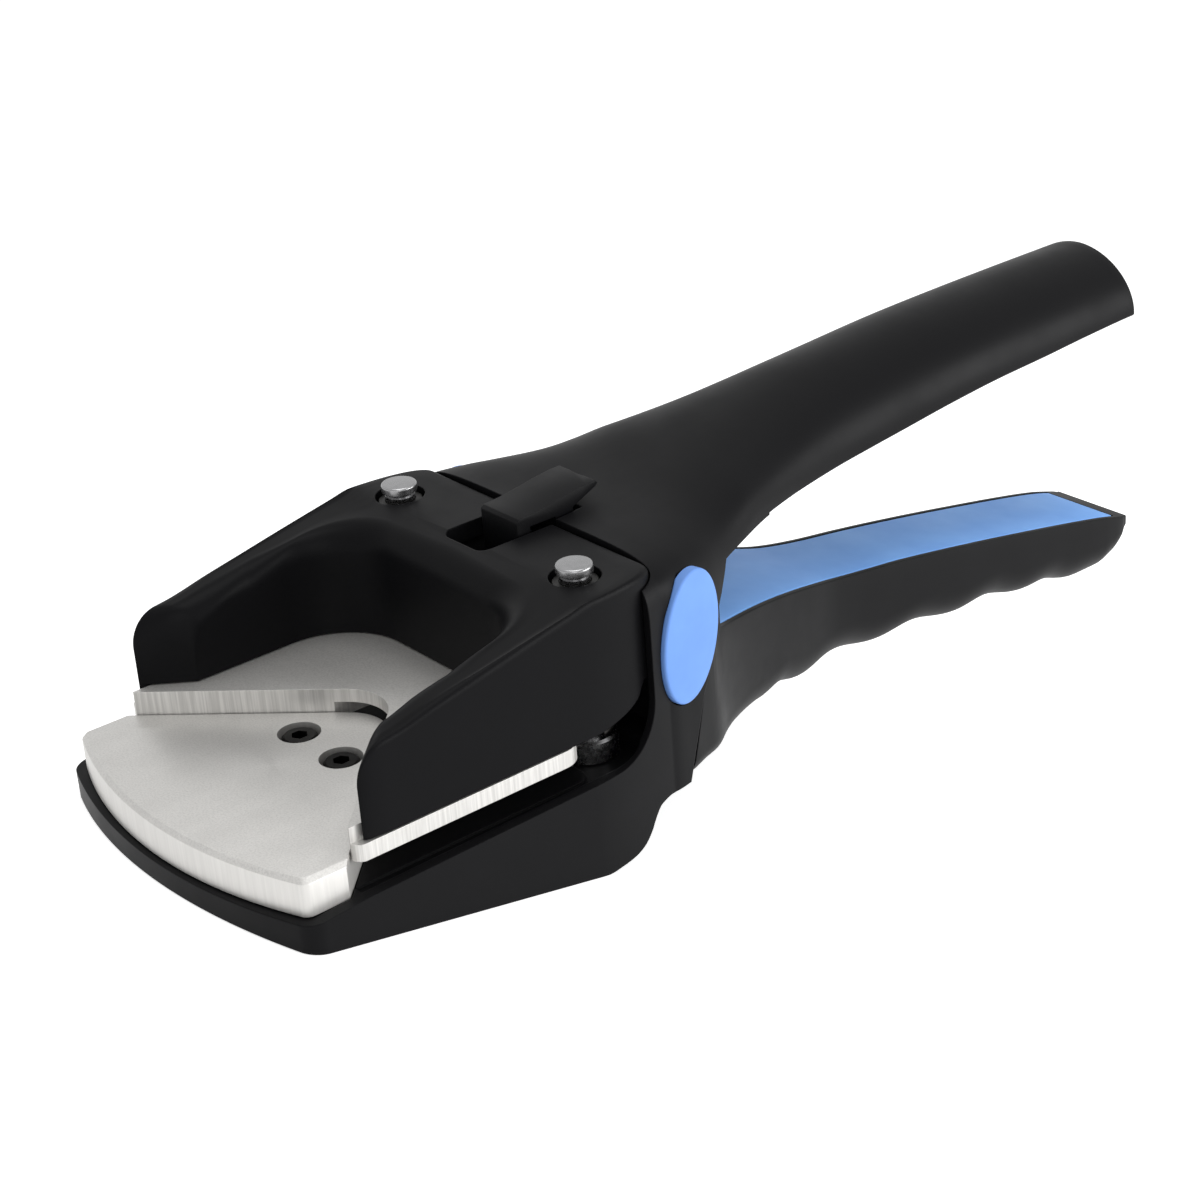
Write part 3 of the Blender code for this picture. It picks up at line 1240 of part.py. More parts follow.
def make_head_housing():
    """The U-shaped housing with its two prongs, carried by the posts."""
    half = [head_ring(*pair) for pair in head_pairs()]
    left = [[(-x, y, z) for x, y, z in ring] for ring in reversed(half[:-1])]
    housing = add_part(HEAD, "head_housing", loft(half + left), head_plastic(), (0.0, POST_Y, 0.0))
    undercut = [(HEAD_UNDERCUT_Y, 0.0)] + undercut_curve() + [(HEAD_REAR_Y + OVERRUN, 0.0)]
    for side in (-1.0, 1.0):
        ends = sorted((side * HEAD_UNDERCUT_X, side * FAR))
        cut(housing, f"undercut_{side:+.0f}", flat_solid(undercut, ends[0], ends[1], across=True))
        x = side * POST_X
        cut(housing, f"bush_bore_{side:+.0f}",
            rod((x, POST_Y, BUSH_BASE_Z - OVERRUN), (x, POST_Y, DECK_HEIGHT + OVERRUN),
                POST_RADIUS + BUSH_BORE_GAP + BUSH_WALL + SEAT_GAP))
        cut(housing, f"spring_bore_{side:+.0f}",
            rod((x, POST_Y, 0.0), (x, POST_Y, BUSH_BASE_Z), SPRING_POCKET_RADIUS))
    cut(housing, "drive_cavity", block((-HEAD_CAVITY_HALF_WIDTH, HEAD_CAVITY_FRONT_Y, PAD_TOP_Z - SEAT_GAP),
                                       (HEAD_CAVITY_HALF_WIDTH, HEAD_REAR_Y + OVERRUN, HEAD_CAVITY_ROOF)))
    pad_x = PAD_HALF_WIDTH + SEAT_GAP
    pad_y = PAD_LENGTH / 2.0 + SEAT_GAP
    cut(housing, "pad_seat", block((-pad_x, NOSE_Y - pad_y, PAD_TOP_Z - PAD_THICKNESS - SEAT_GAP),
                                   (pad_x, NOSE_Y + pad_y, PAD_TOP_Z + SEAT_GAP)))
    cut(housing, "fork_relief", flat_solid(fork_relief(), -HEAD_CAVITY_HALF_WIDTH, HEAD_CAVITY_HALF_WIDTH,
                                           across=True))
    cut(housing, "deck_slot", flat_solid(deck_slot(), HEAD_CAVITY_ROOF - OVERRUN, DECK_HEIGHT + OVERRUN))
    for index, (x, y) in enumerate(cutter_screw_places()):
        cut(housing, f"housing_thread_{index}",
            rod((x, y, 0.0), (x, y, CUTTER_SCREW_LENGTH + SEAT_GAP), CUTTER_SCREW_RADIUS + SEAT_GAP,
                FINE_ROUND_STEPS))


def undercut_curve():
    """The rising lower edge at the head's rear corners."""
    height = SKIRT_BASE_Z
    length = HEAD_REAR_Y - HEAD_UNDERCUT_Y
    points = [(HEAD_UNDERCUT_Y + along * length, height + up * length) for along, up in UNDERCUT_SHARES]
    return points + [(HEAD_REAR_Y + OVERRUN, points[-1][1] + OVERRUN / 2.0)]


def fork_relief():
    """Room below the drive cavity for the fork as it swings down behind the pad."""
    front = NOSE_Y + PAD_LENGTH / 2.0 + SEAT_GAP
    low = HOUSING_BASE_Z + CUTTER_TOP_Z / 2.0
    return [(front, low), (HEAD_REAR_Y + OVERRUN, low), (HEAD_REAR_Y + OVERRUN, PAD_TOP_Z), (front, PAD_TOP_Z)]


def deck_slot():
    radius = DECK_SLOT_CORNER_RADIUS
    x = DECK_SLOT_HALF_WIDTH
    right = arc((x - radius, DECK_SLOT_FRONT_Y + radius), radius, -90.0, 0.0)
    right = right + [(x, HEAD_REAR_Y + OVERRUN)]
    return right + mirrored(right)


def make_pressure_pad():
    x = PAD_HALF_WIDTH
    half = PAD_LENGTH / 2.0
    low = PAD_TOP_Z - PAD_THICKNESS
    mesh = block((-x, NOSE_Y - half, low), (x, NOSE_Y + half, PAD_TOP_Z))
    add_part(HEAD, "pressure_pad", mesh, bright_steel(), (0.0, NOSE_Y, low), smooth=False)


# Lever

def finger_wave(share):
    """How far the underside rises between finger ridges."""
    for here, there in zip(FINGER_CREST_SHARES, FINGER_CREST_SHARES[1:]):
        if here <= share <= there:
            return FINGER_DEPTH * math.sin(math.pi * (share - here) / (there - here)) ** 2
    return 0.0


def lever_section(share):
    """Half width, top, bottom and bottom rounding of the lever at a share of its length."""
    half_width, top, low, rounding = between(LEVER_STATION_SHARES, share)
    drop = LEVER_END_DROP
    return (half_width * GRIP_HALF_WIDTH, top * drop, low * drop + finger_wave(share), rounding)


def lever_ring(share, inset=0.0, top_inset=0.0, floor=0.0):
    """One upright section: flat top, upright sides and a rounded bottom."""
    half_width, top, low, rounding = lever_section(share)
    y = LEVER_FRONT_Y + share * LEVER_LENGTH
    wide = half_width - inset
    bottom = low + floor
    top -= top_inset
    round_x = wide * rounding
    round_z = min((top - bottom) * ROUNDING_HEIGHT_SHARE, round_x * ROUNDING_SQUASH_SHARE + inset)
    right = arc((wide - round_x, bottom + round_z), round_x, 0.0, -90.0, CORNER_STEPS, round_z)
    outline = [(wide, top)] + right + [(-x, z) for x, z in reversed(right)] + [(-wide, top)]
    return [(x, y, z) for x, z in outline]


def lever_shares(start=0.0, end=1.0):
    shares = [index / LEVER_RINGS for index in range(LEVER_RINGS)]
    shares += [station[0] for station in LEVER_STATION_SHARES[-4:]]
    return [start] + sorted(share for share in set(shares) if start < share < end) + [end]


def lever_waste():
    """What is cut away in front of the lever's edge, which swings round the body's corner."""
    low = REAR_EDGE_BOTTOM_Z * 2.0
    edge = [(y + RUN_GAP, z) for y, z in rear_edge()[:2]]
    step = (edge[1][0] - edge[0][0]) / (edge[1][1] - edge[0][1])
    start = (edge[0][0] + (low - edge[0][1]) * step, low)
    swing = math.hypot(REAR_EDGE_UPRIGHT_Y, REAR_EDGE_UPRIGHT_LOW) + RUN_GAP
    edge += arc((PIVOT_Y, PIVOT_Z), swing, -SWING_START, -SWING_END)
    high = PIVOT_Z + HANDLE_TOP
    front = LEVER_FRONT_Y - OVERRUN
    return [(front - OVERRUN, low), start] + edge + [(edge[-1][0], high), (front - OVERRUN, high)]


def make_lever_grip():
    """The black channel of the lower lever with its finger ridges."""
    rings = [lever_ring(share) for share in lever_shares()]
    grip = add_part(LEVER, "lever_grip", loft(rings), grip_plastic(), LEVER["origin"])
    last = LEVER_STATION_SHARES[-2][0] - GRIP_WALL / LEVER_LENGTH
    hollow = []
    for share in lever_shares(0.0, last):
        hollow.append(lever_ring(share, GRIP_WALL, INLAY_THICKNESS + SEAT_GAP, GRIP_WALL))
    cut(grip, "lever_waste", flat_solid(lever_waste(), -FAR, FAR, across=True))
    cut(grip, "grip_hollow", loft(hollow))
    seat = [lever_inlay_ring(share, SEAT_GAP, OVERRUN) for share in inlay_shares(-SEAT_GAP, SEAT_GAP)]
    cut(grip, "inlay_seat", loft(seat))
    front = inlay_shares()[0]
    cut(grip, "throat", loft([lever_throat_ring(share) for share in (0.0, front / 2.0, front)]))


def lever_throat_ring(share):
    """The lever's top is open ahead of the inlay, inside the waist."""
    half_width, top, low, rounding = lever_section(share)
    y = LEVER_FRONT_Y + share * LEVER_LENGTH
    x = half_width - GRIP_WALL
    floor = -INLAY_THICKNESS * 2.0
    return [(x, y, floor), (x, y, top + OVERRUN), (-x, y, top + OVERRUN), (-x, y, floor)]


def inlay_shares(front_shift=0.0, end_shift=0.0):
    start = INLAY_FRONT_SHARE + front_shift / LEVER_LENGTH
    end = INLAY_END_SHARE + end_shift / LEVER_LENGTH
    return lever_shares(start, end)


def lever_inlay_ring(share, grow=0.0, rise=0.0):
    """One section of the blue inlay, a flat strip with its top flush with the grip's rim."""
    half_width, top, low, rounding = lever_section(share)
    y = LEVER_FRONT_Y + share * LEVER_LENGTH
    x = half_width - INLAY_RIM - SEAT_GAP + grow
    base = top - INLAY_THICKNESS - grow
    return [(x, y, base), (x, y, top + rise), (-x, y, top + rise), (-x, y, base)]


def make_lever_inlay():
    rings = [lever_inlay_ring(share) for share in inlay_shares()]
    add_part(LEVER, "lever_inlay", loft(rings), blue_plastic(), LEVER["origin"])


def core_profile():
    """The drive casting from the side: fork, hub web and tail bar inside the lever."""
    height = FORK_HEIGHT / 2.0
    nose = arc((NOSE_Y, NOSE_Z), height, 90.0, 270.0)
    joint_y = PIVOT_Y + 2.0 * HUB_RADIUS
    tail_y = joint_y + HUB_RADIUS
    neck_y = PIVOT_Y - HUB_RADIUS * CORE_NECK_SHARE
    return nose + [(neck_y, PIVOT_Z - height), (joint_y, CORE_BEND_Z - height),
                   (tail_y, -2.0 * height), (tail_y, 0.0), (joint_y, CORE_BEND_Z + height),
                   (PIVOT_Y + HUB_RADIUS, PIVOT_Z)]


def tail_ring(share):
    """One section of the tail bar along the middle of the grip."""
    half_width, top, low, rounding = lever_section(share)
    y = LEVER_FRONT_Y + share * LEVER_LENGTH
    x = min(CORE_TAIL_HALF_WIDTH, half_width - GRIP_WALL - SEAT_GAP)
    high = top - INLAY_THICKNESS - 2.0 * SEAT_GAP
    base = high - CORE_TAIL_HEIGHT
    return [(x, y, base), (x, y, high), (-x, y, high), (-x, y, base)]


def make_lever_core():
    """The metal casting that turns on the pivot and carries the roller."""
    tail_start = (PIVOT_Y + HUB_RADIUS * CORE_TAIL_START_SHARE - LEVER_FRONT_Y) / LEVER_LENGTH
    rings = [tail_ring(share) for share in lever_shares(tail_start, TAIL_END_SHARE)]
    core = add_part(LEVER, "lever_core", loft(rings), cast_aluminium(), LEVER["origin"])
    join(core, "core_fork", flat_solid(core_profile(), -FORK_OUTER_X, FORK_OUTER_X, across=True))
    x = HUB_HALF_WIDTH
    join(core, "core_hub", rod((-x, PIVOT_Y, PIVOT_Z), (x, PIVOT_Y, PIVOT_Z), HUB_RADIUS))
    slot_rear = PIVOT_Y - HUB_RADIUS - OVERRUN / 2.0
    cut(core, "fork_slot", block((-FORK_INNER_X, NOSE_Y - 2.0 * FORK_HEIGHT, PIVOT_Z - 2.0 * FORK_HEIGHT),
                                 (FORK_INNER_X, slot_rear, PIVOT_Z + 2.0 * FORK_HEIGHT)))
    reach = HUB_HALF_WIDTH + OVERRUN
    bore = PIVOT_PIN_RADIUS + SEAT_GAP
    cut(core, "hub_bore", rod((-reach, PIVOT_Y, PIVOT_Z), (reach, PIVOT_Y, PIVOT_Z), bore))
    liner = PIVOT_PIN_RADIUS + BUSH_BORE_GAP + BUSH_LINER_WALL + SEAT_GAP
    for side in (-1.0, 1.0):
        x = side * (HUB_HALF_WIDTH - PIVOT_BUSH_LENGTH)
        cut(core, f"liner_bore_{side:+.0f}",
            rod((x, PIVOT_Y, PIVOT_Z), (side * reach, PIVOT_Y, PIVOT_Z), liner))
    pin_bore = NOSE_PIN_RADIUS + SEAT_GAP
    cut(core, "nose_pin_bore",
        rod((-reach, NOSE_Y, NOSE_Z), (reach, NOSE_Y, NOSE_Z), pin_bore, FINE_ROUND_STEPS))


def make_pivot_bushes():
    bore = PIVOT_PIN_RADIUS + BUSH_BORE_GAP
    outer = bore + BUSH_LINER_WALL
    length = PIVOT_BUSH_LENGTH - SEAT_GAP
    half = length / 2.0
    profile = [(bore, half), (outer, half), (outer, -half), (bore, -half), (bore, half)]
    for side, name in ((-1.0, "pivot_bush_left"), (1.0, "pivot_bush_right")):
        x = side * (HUB_HALF_WIDTH - half)
        add_turned(LEVER, name, profile, bronze(), (x, PIVOT_Y, PIVOT_Z), "X", FINE_ROUND_STEPS)


def make_nose_roller():
    bore = NOSE_PIN_RADIUS + BUSH_BORE_GAP
    edge = BUSH_CHAMFER
    x = ROLLER_HALF_WIDTH
    profile = [(bore, x), (ROLLER_RADIUS - edge, x), (ROLLER_RADIUS, x - edge), (ROLLER_RADIUS, edge - x),
               (ROLLER_RADIUS - edge, -x), (bore, -x), (bore, x)]
    add_turned(LEVER, "nose_roller", profile, bright_steel(), (0.0, NOSE_Y, NOSE_Z), "X", FINE_ROUND_STEPS)


def make_nose_pin():
    x = FORK_OUTER_X
    radius = NOSE_PIN_RADIUS
    profile = [(0.0, x), (radius, x), (radius, -x), (0.0, -x)]
    add_turned(LEVER, "nose_pin", profile, dark_steel(), (0.0, NOSE_Y, NOSE_Z), "X", FINE_ROUND_STEPS)


# Whole tool

def new_group(name, origin, parent=None):
    """An empty on a joint's axis, or the tool's own frame."""
    empty = bpy.data.objects.new(name, None)
    PARTS.objects.link(empty)
    if parent is not None:
        attach(empty, parent["empty"], origin, parent["origin"])
    return {"empty": empty, "origin": origin}


def stand_on_base():
    """Leans the tool back on its base and moves it so that the middle of its footprint is at the origin."""
    frame = TOOL["empty"]
    frame.rotation_euler = (REST_TILT, 0.0, 0.0)
    bpy.context.view_layer.update()
    graph = bpy.context.evaluated_depsgraph_get()
    low = Vector((math.inf,) * 3)
    high = Vector((-math.inf,) * 3)
    for obj in PARTS.objects:
        if obj.type != "MESH":
            continue
        evaluated = obj.evaluated_get(graph)
        mesh = evaluated.to_mesh()
        for vertex in mesh.vertices:
            place = evaluated.matrix_world @ vertex.co
            low = Vector(map(min, low, place))
            high = Vector(map(max, high, place))
        evaluated.to_mesh_clear()
    frame.location = (-(low.x + high.x) / 2.0, -(low.y + high.y) / 2.0, -low.z)
    bpy.context.view_layer.update()
    size = (high - low) * 1000.0
    print(f"size {size.x:.1f} x {size.y:.1f} x {size.z:.1f} mm")


clear_scene()
PARTS = new_collection("corner_rounder")
CUTTERS = new_collection("cutters")
TOOL = new_group("tool_frame", (0.0, 0.0, 0.0))
HEAD = new_group("head_slide", (0.0, POST_Y, 0.0), TOOL)
LEVER = new_group("lever_hinge", (0.0, PIVOT_Y, PIVOT_Z), TOOL)
LATCH = new_group("latch_hinge", (0.0, LATCH_PIVOT_Y, LATCH_PIVOT_Z), TOOL)

make_body_frame()
make_base_cover()
make_base_cover_screws()
make_handle_plug()
make_anvil_plate()
make_anvil_screws()
make_guide_posts()
make_return_springs()
make_pivot_pin()
make_pivot_caps()
make_latch_pin()
make_latch()
make_head_housing()
make_cutter_plate()
make_cutter_screws()
make_post_bushes()
make_pressure_pad()
make_lever_grip()
make_lever_inlay()
make_lever_core()
make_pivot_bushes()
make_nose_roller()
make_nose_pin()
stand_on_base()
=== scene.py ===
"""Hand-held corner rounder, finished for a studio picture.

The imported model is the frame. This add-on rebuilds the mouldings, blades, posts, springs, latch and caps over
it with finer surfaces and real roundings, gives every piece its finish, and sets up the camera, the lamps and
the floor. Pieces are shaped in the tool's own frame: X across the tool, Y from the blades to the handles and
Z along the posts.
"""
import json
import math

import bmesh
import bpy
from mathutils import Matrix, Vector


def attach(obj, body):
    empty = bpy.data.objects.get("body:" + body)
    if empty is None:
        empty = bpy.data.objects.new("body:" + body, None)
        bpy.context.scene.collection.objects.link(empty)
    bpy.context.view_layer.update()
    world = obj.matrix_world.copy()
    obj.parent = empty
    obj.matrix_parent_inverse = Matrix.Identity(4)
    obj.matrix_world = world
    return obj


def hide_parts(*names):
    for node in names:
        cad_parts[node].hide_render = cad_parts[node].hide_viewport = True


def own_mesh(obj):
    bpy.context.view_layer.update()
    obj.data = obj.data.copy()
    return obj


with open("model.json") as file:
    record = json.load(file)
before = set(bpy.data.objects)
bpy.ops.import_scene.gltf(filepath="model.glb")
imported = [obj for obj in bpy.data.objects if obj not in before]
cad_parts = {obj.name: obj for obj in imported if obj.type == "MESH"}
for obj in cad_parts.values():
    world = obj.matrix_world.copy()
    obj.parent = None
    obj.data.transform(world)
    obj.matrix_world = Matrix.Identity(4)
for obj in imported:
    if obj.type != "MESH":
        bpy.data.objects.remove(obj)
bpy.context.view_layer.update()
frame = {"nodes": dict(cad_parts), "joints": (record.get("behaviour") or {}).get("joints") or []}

bl_info = {
    "name": "Corner rounder",
    "version": (1, 0, 0),
    "blender": (4, 5, 0),
    "location": "3D View > Sidebar > Rounder",
    "description": "Builds the finished pieces of a hand-held corner rounder over its packed model",
    "category": "Add Mesh",
}

# The tool's own frame, leaned back on its base, found from the lever's hinge
REST_TILT = math.radians(10.8)
PIVOT_Y = 0.0785
PIVOT_Z = 0.01285
HINGE = next(joint for joint in frame["joints"] if joint["name"] == "lever_hinge")
LEAN = Matrix.Rotation(REST_TILT, 4, "X")
TOOL = Matrix.Translation(Vector(HINGE["pos_m"]) - LEAN @ Vector((0.0, PIVOT_Y, PIVOT_Z))) @ LEAN

# Clearances
SEAT_GAP = 0.0003
RUN_GAP = 0.00035
OVERRUN = 0.0030

# Blades
NOTCH_HALF_WIDTH = 0.0364
NOSE_RADIUS = 0.0100
SHEAR_GAP = 0.0003
CUTTER_HALF_WIDTH = 0.0386
CUTTER_LENGTH = 0.0515
CUTTER_TOP_Z = 0.0049
CUTTER_BASE_Z = -0.0016
CUTTER_REAR_RADIUS = 0.0050
CUTTER_TIP_RADIUS = 0.0020
CUTTER_REBATE_X = 0.0366
CUTTER_REBATE_Z = 0.0018
CHIP_POCKET_HALF_WIDTH = 0.0088
CHIP_POCKET_HEIGHT = 0.0021
CHIP_POCKET_RELIEF = 0.0012
CUTTER_SCREW_X = 0.0335
CUTTER_SCREW_YS = (0.0150, 0.0400)
CUTTER_SCREW_RADIUS = 0.0015
CUTTER_SCREW_HEAD_RADIUS = 0.0028
CUTTER_SCREW_HEAD_HEIGHT = 0.0016
CUTTER_SCREW_LENGTH = 0.0140
ANVIL_HALF_WIDTH = 0.0385
ANVIL_THICKNESS = 0.0075
ANVIL_REACH = 0.0190
ANVIL_FRONT_RADIUS = 0.1000
ANVIL_CORNER_RADIUS = 0.0020
ANVIL_CHAMFER = 0.0012
ANVIL_CHAMFER_SHARES = ((1.0, 0.0), (0.82, 0.06), (0.10, 0.72), (0.0, 1.0))
ANVIL_SCREW_X = 0.0070
ANVIL_SCREW_Y = 0.0181
COUNTERBORE_RADIUS = 0.0042
COUNTERBORE_DEPTH = 0.0042
SOCKET_SHANK_RADIUS = 0.0020
SOCKET_SHANK_LENGTH = 0.0090

# Fixed body
BODY_HALF_WIDTH = 0.0413
LIP_THICKNESS = 0.0009
TRAY_CORNER_RADIUS = 0.0045
TRAY_GROOVE_WIDTH = 0.0025
TRAY_WELL_REAR_Y = 0.0672
TRAY_FLOOR_Z = -0.0078
TRAY_FRONT_RADIUS = 0.1150
LEDGE_Z = -0.0073
LEDGE_REAR_Y = 0.0538
LEDGE_CORNER_RADIUS = 0.0030
RIM_LIP_DEPTH = 0.0078
RIM_LIP_REACH = 0.0120
RIM_FRONT_DEPTH = 0.0070
RIM_REAR_DEPTH = 0.0062
RIM_EDGE = 0.0006
CHEEK_FRONT_Y = 0.0679
CHEEK_CORNER_RADIUS = 0.0110
UNDERSIDE_DEPTH = 0.0160
UNDERSIDE_END_Y = 0.0520
HEEL_LENGTH = 0.0200
HEEL_RISE = 0.0120
HEEL_SHARES = ((0.0, 0.0), (0.2, 0.070), (0.4, 0.175), (0.525, 0.30), (0.63, 0.50), (0.71, 0.73),
               (0.80, 0.90), (1.0, 1.0))
BODY_ROOT_Z = -0.0342
COVER_HALF_WIDTH = 0.0330
COVER_FRONT_Y = 0.0010
COVER_REAR_Y = 0.0500
COVER_THICKNESS = 0.0020
COVER_CORNER_RADIUS = 0.0040
HOLLOW_INSET = 0.0110
HOLLOW_FRONT_Y = 0.0300
HOLLOW_ROOF_DEPTH = 0.0120
FRONT_WALL = 0.0030
SHELL_WALL = 0.0030
HANDLE_LENGTH = 0.1578
HANDLE_TOP = 0.0427
HANDLE_END_ROUNDING = 0.0007
REAR_EDGE = ((-0.0034, -0.0230), (0.0041, -0.0010), (0.0107, 0.01045), (0.0107, 0.01435), (0.0157, 0.0216))
CROTCH_RUN_SHARE = 0.03
SWING_START = 47.0
SWING_END = 10.0
SWING_RADIUS = 0.01132
NOSE_WINDOW_HALF_WIDTH = 0.0325
NOSE_WINDOW_LOW = 0.0055
NOSE_WINDOW_HIGH = 0.0206
WAIST_FLOOR_Z = -0.0040
# Sections from the head to the handle's end: place, half width, bottom, shoulder, top, and how square it is
HANDLE_STATION_SHARES = (
    (0.000, 0.918, 0.520, 0.280, 0.699, 0.32),
    (0.043, 0.889, 0.520, 0.280, 0.708, 0.37),
    (0.075, 0.860, 0.520, 0.270, 0.718, 0.44),
    (0.100, 0.829, 0.520, 0.280, 0.727, 0.50),
    (0.138, 0.758, 0.520, 0.340, 0.748, 0.60),
    (0.176, 0.689, 0.525, 0.440, 0.775, 0.70),
    (0.221, 0.617, 0.532, 0.540, 0.808, 0.80),
    (0.272, 0.556, 0.540, 0.562, 0.842, 0.88),
    (0.336, 0.499, 0.548, 0.571, 0.880, 0.94),
    (0.431, 0.445, 0.562, 0.583, 0.927, 0.98),
    (0.527, 0.423, 0.586, 0.607, 0.956, 1.00),
    (0.622, 0.411, 0.616, 0.636, 0.977, 1.00),
    (0.718, 0.403, 0.640, 0.659, 0.990, 1.02),
    (0.813, 0.397, 0.653, 0.671, 0.998, 1.04),
    (0.909, 0.391, 0.670, 0.685, 1.001, 1.05),
    (1.000, 0.386, 0.679, 0.694, 1.001, 1.05),
)
TROUGH_START_SHARE = 0.245
TROUGH_CLEAR_SHARE = 0.012
FLANK_CURVE = 1.6
PLUG_START_SHARE = 0.750
PLUG_END_SHARE = 0.848
PLUG_DROP = 0.0019
PLUG_WALL = 0.0030

# Cutting head
DECK_HEIGHT = 0.0292
HEAD_REAR_Y = 0.0723
HEAD_HALF_WIDTH = 0.0386
HEAD_CORNER_WIDTH = 0.0060
HEAD_CORNER_SQUARE = 0.75
HEAD_CORNER_LENGTH = 0.0200
POCKET_HALF_WIDTH = 0.0306
POCKET_REAR_Y = 0.0480
POCKET_CORNER_RADIUS = 0.0150
POCKET_RIM_RADIUS = 0.0058
PRONG_FACE_Y = 0.0021
PRONG_FACE_SWEEP = 0.0091
PRONG_NOSE_RADIUS = 0.0055
PRONG_CORNER_RADIUS = 0.0010
DECK_EDGE = 0.0014
SKIRT_WALL = 0.0017
SKIRT_BASE_Z = 0.0021
HEAD_UNDERCUT_X = 0.0190
HEAD_UNDERCUT_Y = 0.0520
HEAD_CAVITY_HALF_WIDTH = 0.0134
HEAD_CAVITY_FRONT_Y = 0.0570
HEAD_CAVITY_ROOF = 0.0255
DECK_SLOT_HALF_WIDTH = 0.0066
DECK_SLOT_FRONT_Y = 0.0546
DECK_SLOT_CORNER_RADIUS = 0.0025
HEAD_TOP_SHARES = ((0.0, 0.665), (0.13, 0.695), (0.28, 0.773), (0.43, 0.841), (0.59, 0.914), (0.715, 0.970),
                   (0.78, 1.0), (1.0, 1.0))
UNDERCUT_SHARES = ((0.0, -0.010), (0.22, 0.015), (0.46, 0.070), (0.64, 0.155), (0.75, 0.300))

# Posts, springs and drive
POST_X = 0.02765
POST_Y = 0.06005
POST_RADIUS = 0.0030
POST_HEAD_RADIUS = 0.0036
POST_HEAD_HEIGHT = 0.0017
POST_HEAD_CROWN = 0.0005
POST_NECK_RADIUS = 0.0026
POST_NECK_HEIGHT = 0.0008
POST_RISE = 0.0026
POST_FLANGE_RADIUS = 0.0059
POST_FLANGE_HEIGHT = 0.0045
POST_ROOT_DEPTH = 0.0040
BUSH_OUTER_RADIUS = 0.0047
BUSH_LENGTH = 0.0140
BUSH_SINK = 0.0009
SPRING_WIRE_RADIUS = 0.0006
SPRING_RADIUS = 0.0047
SPRING_TURNS = 7
SPRING_POCKET_RADIUS = 0.0060
PIVOT_BEHIND_HEAD = 0.0062
PIVOT_PIN_RADIUS = 0.0030
NOSE_Y = 0.0639
PAD_TOP_Z = 0.01195
PAD_HALF_WIDTH = 0.0105
PAD_LENGTH = 0.0060
PAD_THICKNESS = 0.0030
CAP_HALF_LENGTH = 0.0134
CAP_HALF_WIDTH = 0.0081
CAP_THICKNESS = 0.0024
CAP_SINK = 0.0016
CAP_LEAN = math.radians(12.0)
CAP_TURN = math.radians(11.0)
CAP_DOME = 0.0004
CAP_RISE = 0.0001
CAP_RIM = 0.0006
CAP_GROOVE = 0.0005
CAP_GROOVE_DEPTH = 0.0006
CAP_LAND = 0.0024
CAP_LAND_DEPTH = 0.0003

# Latch
LATCH_HALF_WIDTH = 0.0056
LATCH_FRONT_Y = 0.0638
LATCH_TOP_Z = 0.0322
LATCH_ARM_THICKNESS = 0.0023
LATCH_LEG_THICKNESS = 0.0032
LATCH_LEG_BOTTOM_Z = 0.0230
LATCH_TAIL_Y = 0.0840
LATCH_TAIL_Z = 0.0342
LATCH_TAIL_THICKNESS = 0.0012
LATCH_SCOOP_RADIUS = 0.0090
LATCH_SCOOP_DEPTH = 0.0008
LATCH_EDGE = 0.0003
LATCH_PIVOT_Y = 0.0754
LATCH_PIVOT_Z = 0.0268
LATCH_LUG_HALF_LENGTH = 0.0022
LATCH_LUG_DROP = 0.0026
LATCH_PIN_RADIUS = 0.0012
LATCH_PIN_HALF_LENGTH = 0.0095
LATCH_SLOT_GAP = 0.0008
LATCH_SLOT_FLOOR_Z = 0.0229

# Lever
LEVER_LENGTH = 0.1624
LEVER_END_DROP = 0.0228
GRIP_HALF_WIDTH = 0.0116
GRIP_WALL = 0.0024
GRIP_RIM_EDGE = 0.0003
GRIP_FRONT_GAP = 0.0007
INLAY_RIM = 0.0011
INLAY_THICKNESS = 0.0026
INLAY_EDGE = 0.0004
INLAY_FRONT_SHARE = 0.1070
INLAY_END_SHARE = 0.9725
FINGER_DEPTH = 0.0015
FINGER_CREST_SHARES = (0.245, 0.352, 0.508, 0.660, 0.795, 0.910)
LEVER_STATION_SHARES = (
    (0.000, 3.23, 1.050, -0.830, 0.12),
    (0.038, 3.16, 1.000, -0.790, 0.12),
    (0.069, 3.02, 0.710, -0.785, 0.13),
    (0.094, 2.89, 0.490, -0.800, 0.14),
    (0.110, 2.74, 0.392, -0.835, 0.16),
    (0.138, 2.43, 0.272, -0.885, 0.20),
    (0.169, 2.18, 0.196, -0.905, 0.25),
    (0.231, 1.83, 0.098, -0.955, 0.36),
    (0.294, 1.53, -0.005, -1.070, 0.50),
    (0.356, 1.28, -0.115, -1.130, 0.62),
    (0.419, 1.08, -0.225, -1.167, 0.74),
    (0.481, 1.02, -0.300, -1.202, 0.80),
    (0.544, 1.00, -0.362, -1.247, 0.80),
    (0.669, 1.00, -0.510, -1.327, 0.80),
    (0.794, 1.00, -0.675, -1.427, 0.80),
    (0.900, 1.00, -0.825, -1.548, 0.80),
    (0.950, 0.99, -0.905, -1.545, 0.78),
    (0.975, 0.97, -0.955, -1.480, 0.76),
    (0.990, 0.94, -0.985, -1.370, 0.74),
    (1.000, 0.90, -1.005, -1.210, 0.70),
)

